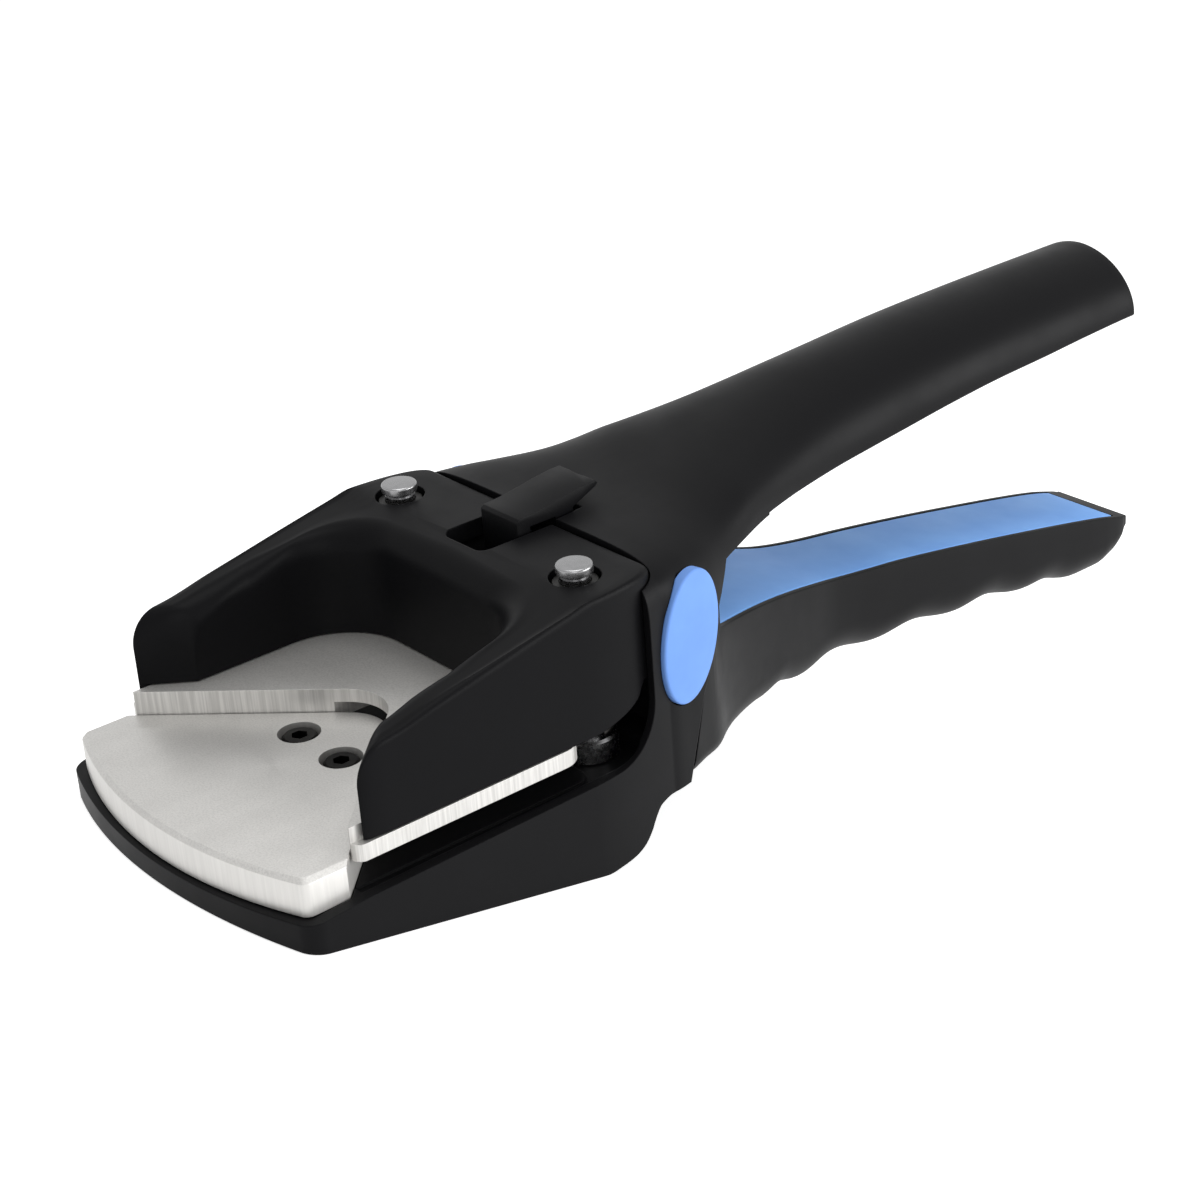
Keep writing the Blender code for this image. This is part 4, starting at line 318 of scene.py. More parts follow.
# Places worked out from the sizes
NOSE_CENTRE_Y = NOTCH_HALF_WIDTH - NOSE_RADIUS * math.sqrt(2.0)
HOUSING_BASE_Z = CUTTER_TOP_Z + SEAT_GAP
BUSH_BASE_Z = DECK_HEIGHT - BUSH_SINK - BUSH_LENGTH
FLANGE_TOP_Z = TRAY_FLOOR_Z + SEAT_GAP + POST_FLANGE_HEIGHT
POST_TOP_Z = DECK_HEIGHT + POST_RISE
BODY_FRONT_Y = HEAD_REAR_Y + RUN_GAP
FAR = 0.0913

# How finely the surfaces are made
ARC_STEPS = 14
ARCH_STEPS = 56
BODY_RINGS = 84
LEVER_RINGS = 110
ROUND_STEPS = 72
HOLE_STEPS = 24
BORE_STEPS = 32
SPRING_STEPS = 28

# The two sides alike, the left one first
SIDES = (-1.0, 1.0)
NAMED_SIDES = ((-1.0, "left"), (1.0, "right"))


# Mesh making

def mesh_from(build):
    form = bmesh.new()
    build(form)
    bmesh.ops.recalc_face_normals(form, faces=form.faces)
    mesh = bpy.data.meshes.new("form")
    form.to_mesh(mesh)
    form.free()
    return mesh


def join_rows(form, rows):
    """Faces between rows of equally many points, each row closed on itself."""
    count = len(rows[0])
    for row, following in zip(rows, rows[1:]):
        for index in range(count):
            beside = (index + 1) % count
            form.faces.new((row[index], row[beside], following[beside], following[index]))


def loft(rings):
    """A closed body through rings of equally many points."""
    def build(form):
        rows = [[form.verts.new(point) for point in ring] for ring in rings]
        join_rows(form, rows)
        form.faces.new(rows[0])
        form.faces.new(rows[-1])
    return mesh_from(build)


def flat_solid(points, low, high, across=False):
    """A flat outline given thickness. Across, the outline is in Y and Z and the thickness along X."""
    if across:
        return loft([[(level, first, second) for first, second in points] for level in (low, high)])
    return loft([[(first, second, level) for first, second in points] for level in (low, high)])


def block(low, high):
    corners = [(low[0], low[1]), (high[0], low[1]), (high[0], high[1]), (low[0], high[1])]
    return flat_solid(corners, low[2], high[2])


def circle(radius, steps):
    angles = [math.tau * index / steps for index in range(steps)]
    return [(radius * math.cos(angle), radius * math.sin(angle)) for angle in angles]


def rod(start, end, radius, steps=ROUND_STEPS):
    start = Vector(start)
    span = Vector(end) - start
    turn = span.to_track_quat("Z", "Y").to_matrix()
    rim = [turn @ Vector((x, y, 0.0)) for x, y in circle(radius, steps)]
    return loft([[start + point for point in rim], [start + span + point for point in rim]])


def upright_rod(x, y, low, high, radius, steps=ROUND_STEPS):
    return rod((x, y, low), (x, y, high), radius, steps)


def cross_rod(half_length, y, z, radius, steps=ROUND_STEPS):
    return rod((-half_length, y, z), (half_length, y, z), radius, steps)


def turned(profile, x, y, steps=ROUND_STEPS):
    """A turned body on an upright axis, from a profile that runs down from the axis and back to it."""
    def build(form):
        rows = [[form.verts.new((x + across, y + along, height)) for across, along in circle(radius, steps)]
                for radius, height in profile[1:-1]]
        join_rows(form, rows)
        for row, (_, height) in ((rows[0], profile[0]), (rows[-1], profile[-1])):
            middle = form.verts.new((x, y, height))
            for index in range(steps):
                form.faces.new((row[index], row[(index + 1) % steps], middle))
    return mesh_from(build)


def arc(centre, radius, start, end, steps=ARC_STEPS, second_radius=None):
    """Points along an arc, both ends included, with angles in degrees."""
    other = radius if second_radius is None else second_radius
    points = []
    for index in range(steps + 1):
        angle = math.radians(start + (end - start) * index / steps)
        points.append((centre[0] + radius * math.cos(angle), centre[1] + other * math.sin(angle)))
    return points


def mirrored(points):
    return [(-first, second) for first, second in reversed(points)]


def slope(before, here, after, column):
    """The slope at a station: level where the values turn, otherwise the gentler way of joining them."""
    if after[0] == here[0] or before[0] == here[0]:
        return 0.0
    rising = (here[column] - before[column]) / (here[0] - before[0])
    leaving = (after[column] - here[column]) / (after[0] - here[0])
    if rising * leaving <= 0.0:
        return 0.0
    return 2.0 * rising * leaving / (rising + leaving)


def between(table, place):
    """Reads a table of stations at a place, on a smooth curve through the stations."""
    last = len(table) - 1
    if place <= table[0][0]:
        return table[0][1:]
    if place >= table[last][0]:
        return table[last][1:]
    index = max(i for i in range(last) if table[i][0] <= place)
    here, there = table[index], table[index + 1]
    before, after = table[max(index - 1, 0)], table[min(index + 2, last)]
    span = there[0] - here[0]
    share = (place - here[0]) / span
    rest = 1.0 - share
    values = []
    for column in range(1, len(here)):
        slope_here = slope(before, here, there, column) * span
        slope_there = slope(here, there, after, column) * span
        values.append(here[column] * (1.0 + 2.0 * share) * rest ** 2 + slope_here * share * rest ** 2
                      + there[column] * share ** 2 * (3.0 - 2.0 * share) - slope_there * share ** 2 * rest)
    return tuple(values)


def put_object(name, data):
    obj = bpy.data.objects.new(name, data)
    bpy.context.scene.collection.objects.link(obj)
    return obj


def taken_mesh(obj):
    """The mesh of an object with its modifiers applied. The object itself is removed."""
    bpy.context.view_layer.update()
    mesh = bpy.data.meshes.new_from_object(obj.evaluated_get(bpy.context.evaluated_depsgraph_get()))
    bpy.data.objects.remove(obj, do_unlink=True)
    return mesh


def carve(mesh, cutters):
    """Cuts bodies out of a mesh and returns the new mesh."""
    blank = put_object("blank", mesh)
    helpers = [put_object("helper", cutter) for cutter in cutters]
    for helper in helpers:
        modifier = blank.modifiers.new("carve", "BOOLEAN")
        modifier.operation = "DIFFERENCE"
        modifier.object = helper
        modifier.solver = "EXACT"
    carved = taken_mesh(blank)
    for helper in helpers:
        bpy.data.objects.remove(helper, do_unlink=True)
    if not carved.polygons:
        raise RuntimeError("a cut left nothing of a piece")
    return carved


def soften(mesh, width, segments=2, angle=35.0):
    """Rounds a mesh's creases and returns the new mesh."""
    blank = put_object("blank", mesh)
    modifier = blank.modifiers.new("soften", "BEVEL")
    modifier.width = width
    modifier.segments = segments
    modifier.limit_method = "ANGLE"
    modifier.angle_limit = math.radians(angle)
    modifier.use_clamp_overlap = True
    return taken_mesh(blank)


def add_piece(name, mesh, finish, body, nodes, crease=34.0):
    """Places a mesh of the tool's frame as a named piece, which rides on a body and stands for nodes."""
    old = bpy.data.objects.get(name)
    if old is not None:
        bpy.data.objects.remove(old, do_unlink=True)
    mesh.name = name
    mesh.transform(TOOL)
    mesh.materials.clear()
    mesh.materials.append(finish)
    mesh.shade_smooth()
    mesh.set_sharp_from_angle(angle=math.radians(crease))
    piece = put_object(name, mesh)
    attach(piece, body)
    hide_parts(*nodes)
    return piece


def dress(node, finish):
    """Gives a model node its finish."""
    obj = frame["nodes"][node]
    obj.data.materials.clear()
    obj.data.materials.append(finish)
    for polygon in obj.data.polygons:
        polygon.material_index = 0


# Finishes

def add_node(tree, kind, **values):
    node = tree.nodes.new(kind)
    for name, value in values.items():
        setattr(node, name, value)
    return node


def shared_group(fill):
    """Makes a node group on its first use, under the name of the function that fills it."""
    def find():
        group = bpy.data.node_groups.get(fill.__name__)
        return fill(fill.__name__) if group is None else group
    return find


def new_group(name, inputs, outputs):
    """An empty node group: inputs are labels with their default numbers or vectors, outputs are all numbers."""
    group = bpy.data.node_groups.new(name, "ShaderNodeTree")
    for label, default in inputs.items():
        kind = "NodeSocketVector" if isinstance(default, tuple) else "NodeSocketFloat"
        socket = group.interface.new_socket(label, in_out="INPUT", socket_type=kind)
        socket.default_value = default
    for label in outputs:
        group.interface.new_socket(label, in_out="OUTPUT", socket_type="NodeSocketFloat")
    return group, group.nodes.new("NodeGroupInput"), group.nodes.new("NodeGroupOutput")


def math_node(tree, operation, first, second=None, clamp=False):
    node = add_node(tree, "ShaderNodeMath", operation=operation, use_clamp=clamp)
    for socket, value in zip(node.inputs, (first, second)):
        if value is None:
            continue
        if isinstance(value, (int, float)):
            socket.default_value = value
        else:
            tree.links.new(value, socket)
    return node.outputs[0]


def weighted(tree, *parts):
    """The sum of values, each times its weight."""
    shares = [math_node(tree, "MULTIPLY", value, weight) for value, weight in parts]
    total = shares.pop()
    while shares:
        total = math_node(tree, "ADD", shares.pop(), total)
    return total


def tool_place(tree, output="Object", kind="POINT"):
    """Object coordinates or normals, turned into the tool's own frame."""
    coordinates = add_node(tree, "ShaderNodeTexCoord")
    turned_back = add_node(tree, "ShaderNodeMapping", vector_type=kind)
    tree.links.new(coordinates.outputs[output], turned_back.inputs["Vector"])
    turned_back.inputs["Rotation"].default_value = (-REST_TILT, 0.0, 0.0)
    if kind == "POINT":
        turned_back.inputs["Location"].default_value = TOOL.inverted().translation
    return turned_back.outputs["Vector"]


def noise_of(tree, vector, scale, detail=2.0, roughness=0.5):
    node = add_node(tree, "ShaderNodeTexNoise", noise_dimensions="3D")
    tree.links.new(vector, node.inputs["Vector"])
    if isinstance(scale, (int, float)):
        node.inputs["Scale"].default_value = scale
    else:
        tree.links.new(scale, node.inputs["Scale"])
    node.inputs["Detail"].default_value = detail
    node.inputs["Roughness"].default_value = roughness
    return node.outputs["Fac"]


@shared_group
def moulded_grain(name):
    """Fine spark-eroded grain of a moulding, with the slow mottling of its gloss."""
    group, start, end = new_group(name, {"Grain Size": 0.0003, "Mottle Size": 0.012}, ("Height", "Mottle"))
    place = tool_place(group)
    grain_scale = math_node(group, "DIVIDE", 1.0, start.outputs["Grain Size"])
    mottle_scale = math_node(group, "DIVIDE", 1.0, start.outputs["Mottle Size"])
    grain = noise_of(group, place, grain_scale, detail=1.0)
    cell = add_node(group, "ShaderNodeTexVoronoi", feature="SMOOTH_F1")
    group.links.new(place, cell.inputs["Vector"])
    group.links.new(grain_scale, cell.inputs["Scale"])
    group.links.new(weighted(group, (grain, 0.6), (cell.outputs["Distance"], 0.4)), end.inputs["Height"])
    group.links.new(noise_of(group, place, mottle_scale, detail=3.0, roughness=0.6), end.inputs["Mottle"])
    return group


@shared_group
def ground_grain(name):
    """Fine lines of ground steel, long in one direction, with cloudy changes of tone."""
    inputs = {"Line Width": 0.00012, "Stretch": (0.05, 1.0, 1.0), "Cloud Size": 0.015}
    group, start, end = new_group(name, inputs, ("Height", "Tone"))
    place = tool_place(group)
    stretched = add_node(group, "ShaderNodeVectorMath", operation="MULTIPLY")
    group.links.new(place, stretched.inputs[0])
    group.links.new(start.outputs["Stretch"], stretched.inputs[1])
    line_scale = math_node(group, "DIVIDE", 1.0, start.outputs["Line Width"])
    cloud_scale = math_node(group, "DIVIDE", 1.0, start.outputs["Cloud Size"])
    streak_scale = math_node(group, "MULTIPLY", cloud_scale, 2.5)
    fine = noise_of(group, stretched.outputs[0], line_scale, detail=3.0, roughness=0.6)
    cloud = noise_of(group, stretched.outputs[0], streak_scale, detail=3.0, roughness=0.55)
    patch = noise_of(group, place, cloud_scale, detail=4.0, roughness=0.6)
    group.links.new(fine, end.inputs["Height"])
    group.links.new(weighted(group, (fine, 0.3), (cloud, 0.25), (patch, 0.45)), end.inputs["Tone"])
    return group


@shared_group
def sheared_edge(name):
    """Upright lines on a blank's cut edge, and a mask of the faces that stand upright."""
    group, start, end = new_group(name, {"Line Width": 0.0006}, ("Height", "Mask"))
    flat = add_node(group, "ShaderNodeVectorMath", operation="MULTIPLY")
    group.links.new(tool_place(group), flat.inputs[0])
    flat.inputs[1].default_value = (1.0, 1.0, 0.03)
    scale = math_node(group, "DIVIDE", 1.0, start.outputs["Line Width"])
    broad = noise_of(group, flat.outputs[0], math_node(group, "MULTIPLY", scale, 0.9), detail=1.0)
    fine = noise_of(group, flat.outputs[0], math_node(group, "MULTIPLY", scale, 3.0), detail=2.0)
    group.links.new(weighted(group, (broad, 0.65), (fine, 0.35)), end.inputs["Height"])
    split = add_node(group, "ShaderNodeSeparateXYZ")
    group.links.new(tool_place(group, "Normal", "VECTOR"), split.inputs[0])
    upright = math_node(group, "SUBTRACT", 1.0, math_node(group, "ABSOLUTE", split.outputs["Z"]))
    mask = math_node(group, "MULTIPLY", math_node(group, "SUBTRACT", upright, 0.35), 4.0, clamp=True)
    group.links.new(mask, end.inputs["Mask"])
    return group


@shared_group
def turned_marks(name):
    """Rings left by the lathe round an upright axis of the tool's frame, and round that axis mirrored."""
    group, start, end = new_group(name, {"Centre": (0.0, 0.0, 0.0), "Pitch": 0.0003}, ("Height", "Tone"))
    place = tool_place(group)
    mirrored_place = add_node(group, "ShaderNodeVectorMath", operation="ABSOLUTE")
    group.links.new(place, mirrored_place.inputs[0])
    offset = add_node(group, "ShaderNodeVectorMath", operation="SUBTRACT")
    group.links.new(mirrored_place.outputs[0], offset.inputs[0])
    group.links.new(start.outputs["Centre"], offset.inputs[1])
    flat = add_node(group, "ShaderNodeVectorMath", operation="MULTIPLY")
    group.links.new(offset.outputs[0], flat.inputs[0])
    flat.inputs[1].default_value = (1.0, 1.0, 0.0)
    length = add_node(group, "ShaderNodeVectorMath", operation="LENGTH")
    group.links.new(flat.outputs[0], length.inputs[0])
    turns = math_node(group, "DIVIDE", length.outputs["Value"], start.outputs["Pitch"])
    wave = math_node(group, "SINE", math_node(group, "MULTIPLY", turns, math.tau))
    noise = noise_of(group, place, scale=900.0, detail=3.0)
    height = math_node(group, "ADD", math_node(group, "MULTIPLY", wave, 0.35), noise)
    group.links.new(height, end.inputs["Height"])
    group.links.new(noise, end.inputs["Tone"])
    return group


@shared_group
def handling_wear(name):
    """Where hands and use have polished a surface: a soft mask."""
    group, start, end = new_group(name, {"Patch Size": 0.02, "Share": 0.45}, ("Mask",))
    scale = math_node(group, "DIVIDE", 1.0, start.outputs["Patch Size"])
    patch = noise_of(group, tool_place(group), scale, detail=5.0, roughness=0.62)
    above = math_node(group, "SUBTRACT", patch, start.outputs["Share"])
    group.links.new(math_node(group, "MULTIPLY", above, 5.0, clamp=True), end.inputs["Mask"])
    return group


def place_group(tree, group, **values):
    node = add_node(tree, "ShaderNodeGroup", node_tree=group)
    for name, value in values.items():
        node.inputs[name.replace("_", " ").title()].default_value = value
    return node


def new_finish(name, metallic, specular):
    """A new material with its tree and shader, or a material that is there already, without them."""
    old = bpy.data.materials.get(name)
    if old is not None:
        return old, None, None
    material = bpy.data.materials.new(name)
    material.use_nodes = True
    tree = material.node_tree
    shader = tree.nodes["Principled BSDF"]
    shader.inputs["Metallic"].default_value = metallic
    shader.inputs["Specular IOR Level"].default_value = specular
    return material, tree, shader


def mix_colours(tree, share, first, second):
    node = add_node(tree, "ShaderNodeMix", data_type="RGBA")
    tree.links.new(share, node.inputs[0])
    for socket, value in ((node.inputs[6], first), (node.inputs[7], second)):
        if isinstance(value, tuple):
            socket.default_value = (*value, 1.0)
        else:
            tree.links.new(value, socket)
    return node.outputs[2]


def ranged(tree, value, low, high, start=0.3, stop=0.7):
    node = add_node(tree, "ShaderNodeMapRange", clamp=True)
    tree.links.new(value, node.inputs["Value"])
    node.inputs["From Min"].default_value = start
    node.inputs["From Max"].default_value = stop
    node.inputs["To Min"].default_value = low
    node.inputs["To Max"].default_value = high
    return node.outputs["Result"]


def surface_normal(tree, shader, height, strength, distance, edge):
    """Bumps the surface, over creases that are softened by a small radius."""
    bump = add_node(tree, "ShaderNodeBump")
    bump.inputs["Strength"].default_value = strength
    bump.inputs["Distance"].default_value = distance
    tree.links.new(height, bump.inputs["Height"])
    if edge > 0.0:
        bevel = add_node(tree, "ShaderNodeBevel", samples=4)
        bevel.inputs["Radius"].default_value = edge
        tree.links.new(bevel.outputs["Normal"], bump.inputs["Normal"])
    tree.links.new(bump.outputs["Normal"], shader.inputs["Normal"])


def scaled(colour, factor):
    return tuple(min(1.0, channel * factor) for channel in colour)


def plastic(name, colour, roughness, grain, specular, edge):
    """Moulded plastic: fine grain, uneven gloss, and patches polished by hands."""
    material, tree, shader = new_finish(name, metallic=0.0, specular=specular)
    if tree is None:
        return material
    texture = place_group(tree, moulded_grain(), grain_size=grain)
    wear = place_group(tree, handling_wear())
    tint = mix_colours(tree, texture.outputs["Mottle"], scaled(colour, 0.86), scaled(colour, 1.14))
    tree.links.new(tint, shader.inputs["Base Color"])
    gloss = ranged(tree, texture.outputs["Mottle"], roughness + 0.03, roughness - 0.03)
    polished = math_node(tree, "SUBTRACT", gloss, math_node(tree, "MULTIPLY", wear.outputs["Mask"], 0.04))
    tree.links.new(polished, shader.inputs["Roughness"])
    surface_normal(tree, shader, texture.outputs["Height"], strength=0.25, distance=0.00002, edge=edge)
    return material


def ground_steel(name, colour, stretch, edge, lines):
    """Ground blade steel, with the cut edges of the blank lined upright."""
    material, tree, shader = new_finish(name, metallic=0.65, specular=0.5)
    if tree is None:
        return material
    grain = place_group(tree, ground_grain(), stretch=stretch)
    edges = place_group(tree, sheared_edge())
    cloud_share = ranged(tree, grain.outputs["Tone"], 0.0, 1.0, start=0.35, stop=0.65)
    clouds = mix_colours(tree, cloud_share, scaled(colour, 0.91), scaled(colour, 1.07))
    speckle = noise_of(tree, tool_place(tree), scale=2600.0, detail=2.0, roughness=0.7)
    speckle_share = ranged(tree, speckle, 0.0, 0.34, start=0.42, stop=0.70)
    top = mix_colours(tree, speckle_share, clouds, scaled(colour, 0.5))
    line_share = ranged(tree, edges.outputs["Height"], 0.0, 1.0, start=0.38, stop=0.62)
    side = mix_colours(tree, line_share, scaled(colour, 1.04 - lines), scaled(colour, 1.04 + lines / 2.0))
    tree.links.new(mix_colours(tree, edges.outputs["Mask"], top, side), shader.inputs["Base Color"])
    tree.links.new(ranged(tree, grain.outputs["Tone"], low=0.48, high=0.38), shader.inputs["Roughness"])
    line_height = math_node(tree, "MULTIPLY", edges.outputs["Height"], 8.0 * lines)
    side_height = math_node(tree, "MULTIPLY", edges.outputs["Mask"], line_height)
    height = math_node(tree, "ADD", grain.outputs["Height"], side_height)
    surface_normal(tree, shader, height, strength=0.35, distance=0.00001, edge=edge)
    shader.inputs["Anisotropic"].default_value = 0.25
    return material


def turned_steel(name, colour, roughness, centre):
    """Bright steel with the fine rings of the lathe round a centre."""
    material, tree, shader = new_finish(name, metallic=1.0, specular=0.5)
    if tree is None:
        return material
    marks = place_group(tree, turned_marks(), centre=centre)
    tint = mix_colours(tree, marks.outputs["Height"], scaled(colour, 0.80), scaled(colour, 1.10))
    tree.links.new(tint, shader.inputs["Base Color"])
    gloss = ranged(tree, marks.outputs["Tone"], roughness - 0.04, roughness + 0.05)
    tree.links.new(gloss, shader.inputs["Roughness"])
    surface_normal(tree, shader, marks.outputs["Height"], strength=0.08, distance=0.000004, edge=0.0)
    return material


def plain_metal(name, colour, roughness, grain):
    """Blackened, drawn, cast or sintered metal, told apart by colour, gloss and the size of its grain."""
    material, tree, shader = new_finish(name, metallic=1.0, specular=0.5)
    if tree is None:
        return material
    texture = place_group(tree, moulded_grain(), grain_size=grain, mottle_size=0.003)
    wear = place_group(tree, handling_wear(), patch_size=0.002, share=0.55)
    tint = mix_colours(tree, texture.outputs["Mottle"], scaled(colour, 0.8), scaled(colour, 1.2))
    worn = mix_colours(tree, wear.outputs["Mask"], tint, scaled(colour, 1.5))
    tree.links.new(worn, shader.inputs["Base Color"])
    gloss = ranged(tree, texture.outputs["Mottle"], roughness - 0.06, roughness + 0.06)
    tree.links.new(gloss, shader.inputs["Roughness"])
    surface_normal(tree, shader, texture.outputs["Height"], strength=0.3, distance=0.00003, edge=0.00012)
    return material


def body_finish(colours):
    return plastic("black_body", colours.black, roughness=0.44, grain=0.00028, specular=0.07, edge=0.0004)


def head_finish(colours):
    return plastic("black_head", colours.black, roughness=0.40, grain=0.00024, specular=0.05, edge=0.0004)


def grip_finish(colours):
    return plastic("black_grip", colours.black, roughness=0.46, grain=0.00034, specular=0.08, edge=0.0003)


# Painted light: the strip's blue is set lighter than the caps' blue of the same plastic, standing in for light
# its face does not get from the lamps.
def blue_finish(colours):
    return plastic("blue_trim_painted_lighter", colours.blue, roughness=0.50, grain=0.00030, specular=0.15, edge=0.0002)


# Painted shade: the caps' blue is set darker than the strip's blue of the same plastic, to offset the side
# lamp's light on them.
def cap_finish(colours):
    return plastic("blue_cap_painted_darker", colours.cap_blue, roughness=0.46, grain=0.00030, specular=0.15, edge=0.0)


def blade_finish(colours):
    return ground_steel("ground_blade", colours.steel, stretch=(0.06, 1.0, 1.0), edge=0.00012, lines=0.17)


def anvil_finish(colours):
    return ground_steel("ground_anvil", colours.steel, stretch=(1.0, 0.06, 1.0), edge=0.00015, lines=0.05)


def post_finish(colours):
    return turned_steel("turned_post", colours.post, roughness=0.26, centre=(POST_X, POST_Y, 0.0))


def black_steel_finish(colours):
    return plain_metal("black_oxide", colours.black_steel, roughness=0.40, grain=0.0002)


# Painted shade: the wire is made near black to match the shade of the gap between the head and the tray where
# the springs stand.
def spring_finish():
    return plain_metal("spring_wire_painted_shade", (0.030, 0.029, 0.028), roughness=0.48, grain=0.0003)


def drawn_steel_finish():
    return plain_metal("drawn_steel", (0.16, 0.16, 0.16), roughness=0.42, grain=0.0003)


def bronze_finish():
    return plain_metal("sintered_bronze", (0.36, 0.22, 0.11), roughness=0.50, grain=0.0002)


def casting_finish():
    return plain_metal("cast_metal", (0.20, 0.20, 0.205), roughness=0.55, grain=0.0005)


# Outlines shared by the blades and their seats

def front_outline(half_width, reach, radius, corner):
    """The bowed front edge with rounded corners, from the left side to the right."""
    centre_y = radius - reach
    corner_x = half_width - corner
    corner_y = centre_y - math.sqrt((radius - corner) ** 2 - corner_x ** 2)
    turn = math.degrees(math.atan2(corner_y - centre_y, corner_x))
    right = arc((corner_x, corner_y), corner, turn, 0.0)
    bow = arc((0.0, centre_y), radius, -180.0 - turn, turn, 3 * ARC_STEPS)
    left = [(-x, y) for x, y in reversed(right)]
    return left + bow[1:-1] + right


def nose_arc(inset, start, end):
    return arc((0.0, NOSE_CENTRE_Y), NOSE_RADIUS - inset, start, end, 2 * ARC_STEPS)


def anvil_outline(grow=0.0, edge=0.0):
    half_width = ANVIL_HALF_WIDTH + grow - edge
    front = front_outline(half_width, ANVIL_REACH + grow - edge, ANVIL_FRONT_RADIUS + grow - edge,
                          ANVIL_CORNER_RADIUS + grow - edge)
    inset = SHEAR_GAP - grow
    shoulder = NOTCH_HALF_WIDTH - inset * math.sqrt(2.0) - half_width
    return front + [(half_width, shoulder)] + nose_arc(inset, 45.0, 135.0) + [(-half_width, shoulder)]


def cutter_outline():
    rear = arc((CUTTER_HALF_WIDTH - CUTTER_REAR_RADIUS, CUTTER_LENGTH - CUTTER_REAR_RADIUS),
               CUTTER_REAR_RADIUS, 0.0, 90.0)
    radius = CUTTER_TIP_RADIUS
    tip = arc((CUTTER_HALF_WIDTH - radius, radius), radius, -90.0, 0.0)
    right = [(NOTCH_HALF_WIDTH, 0.0)] + tip + rear
    return right + mirrored(right) + nose_arc(0.0, 135.0, 45.0)


def cutter_screw_places():
    return [(side * CUTTER_SCREW_X, y) for y in CUTTER_SCREW_YS for side in SIDES]


# Fixed body

def body_ring(y, half_width, low, shoulder, top, square):
    """One upright section of the body: straight sides with an arch over them and a narrow lower edge."""
    edge = RIM_EDGE
    lower = arc((half_width - edge, low + edge), edge, -90.0, 0.0, 3)
    points = [(x, y, z) for x, z in lower] + [(half_width, y, shoulder)]
    for index in range(1, ARCH_STEPS):
        angle = math.pi * index / ARCH_STEPS
        along, up = math.cos(angle), math.sin(angle)
        x = half_width * math.copysign(abs(along) ** square, along)
        points.append((x, y, shoulder + (top - shoulder) * up ** square))
    return points + [(-half_width, y, shoulder)] + [(-x, y, z) for x, z in reversed(lower)]


def handle_section(share):
    half_width, low, shoulder, top, square = between(HANDLE_STATION_SHARES, share)
    return (half_width * BODY_HALF_WIDTH, low * HANDLE_TOP, shoulder * HANDLE_TOP, top * HANDLE_TOP, square)


def body_shares():
    shares = [(index / BODY_RINGS) ** 1.3 for index in range(BODY_RINGS + 1)]
    return [share for share in shares if abs(share - TROUGH_START_SHARE) > TROUGH_CLEAR_SHARE / 4.0]


def body_outer_mesh():
    half_width, low, shoulder, top, square = handle_section(0.0)
    full = BODY_HALF_WIDTH
    start = LEDGE_REAR_Y - OVERRUN
    stations = [(-full, full), (0.0, full), (start, full)]
    for index in range(1, 3 * ARC_STEPS):
        share = index / (3 * ARC_STEPS)
        wide = full - (full - half_width) * share ** FLANK_CURVE
        stations.append((start + (HEAD_REAR_Y - start) * share, wide))
    rings = [body_ring(y, wide, BODY_ROOT_Z, shoulder, top, square) for y, wide in stations]
    for share in body_shares():
        half_width, low, shoulder, top, square = handle_section(share)
        if share < TROUGH_START_SHARE:
            low = BODY_ROOT_Z
        rings.append(body_ring(HEAD_REAR_Y + share * HANDLE_LENGTH, half_width, low, shoulder, top, square))
    half_width, low, shoulder, top, square = handle_section(1.0)
    end = HEAD_REAR_Y + HANDLE_LENGTH
    less = HANDLE_END_ROUNDING
    rings.pop()
    for turn, back in arc((0.0, 0.0), 1.0, 90.0, 0.0, 4):
        inset = less * (1.0 - back)
        y = end - less + less * turn
        rings.append(body_ring(y, half_width - inset, low, shoulder, top - inset, square))
    return loft(rings)


def rear_edge():
    return [(PIVOT_Y + along, z) for along, z in REAR_EDGE]


def rear_opening():
    low = 2.0 * REAR_EDGE[0][1]
    edge = rear_edge()
    step = (edge[1][0] - edge[0][0]) / (edge[1][1] - edge[0][1])
    start = (edge[0][0] + (low - edge[0][1]) * step, low)
    run = TROUGH_START_SHARE + CROTCH_RUN_SHARE
    trough_y = HEAD_REAR_Y + run * HANDLE_LENGTH
    return [start] + edge + [(trough_y, handle_section(run)[1]), (trough_y, low)]


def underside():
    def depth(y):
        return -UNDERSIDE_DEPTH - math.tan(REST_TILT) * y
    front = -BODY_HALF_WIDTH
    end = UNDERSIDE_END_Y
    low = depth(end) - HANDLE_TOP
    heel = []
    for index in range(2 * ARC_STEPS + 1):
        share = index / (2 * ARC_STEPS)
        y = end + share * HEEL_LENGTH
        heel.append((y, depth(y) + between(HEEL_SHARES, share)[0] * HEEL_RISE))
    far_y = end + 2.0 * HEEL_LENGTH
    return [(front, low), (front, depth(front))] + heel + [(far_y, heel[-1][1]), (far_y, low)]


def above_rim():
    high = HANDLE_TOP + OVERRUN
    front = -BODY_HALF_WIDTH - OVERRUN
    radius = CHEEK_CORNER_RADIUS
    corner = arc((CHEEK_FRONT_Y - radius, radius - RIM_REAR_DEPTH), radius, -90.0, 0.0)
    lip = [(front, -RIM_LIP_DEPTH), (-RIM_LIP_REACH, -RIM_LIP_DEPTH), (0.0, -RIM_FRONT_DEPTH)]
    return [(front, high)] + lip + corner + [(CHEEK_FRONT_Y, high)]


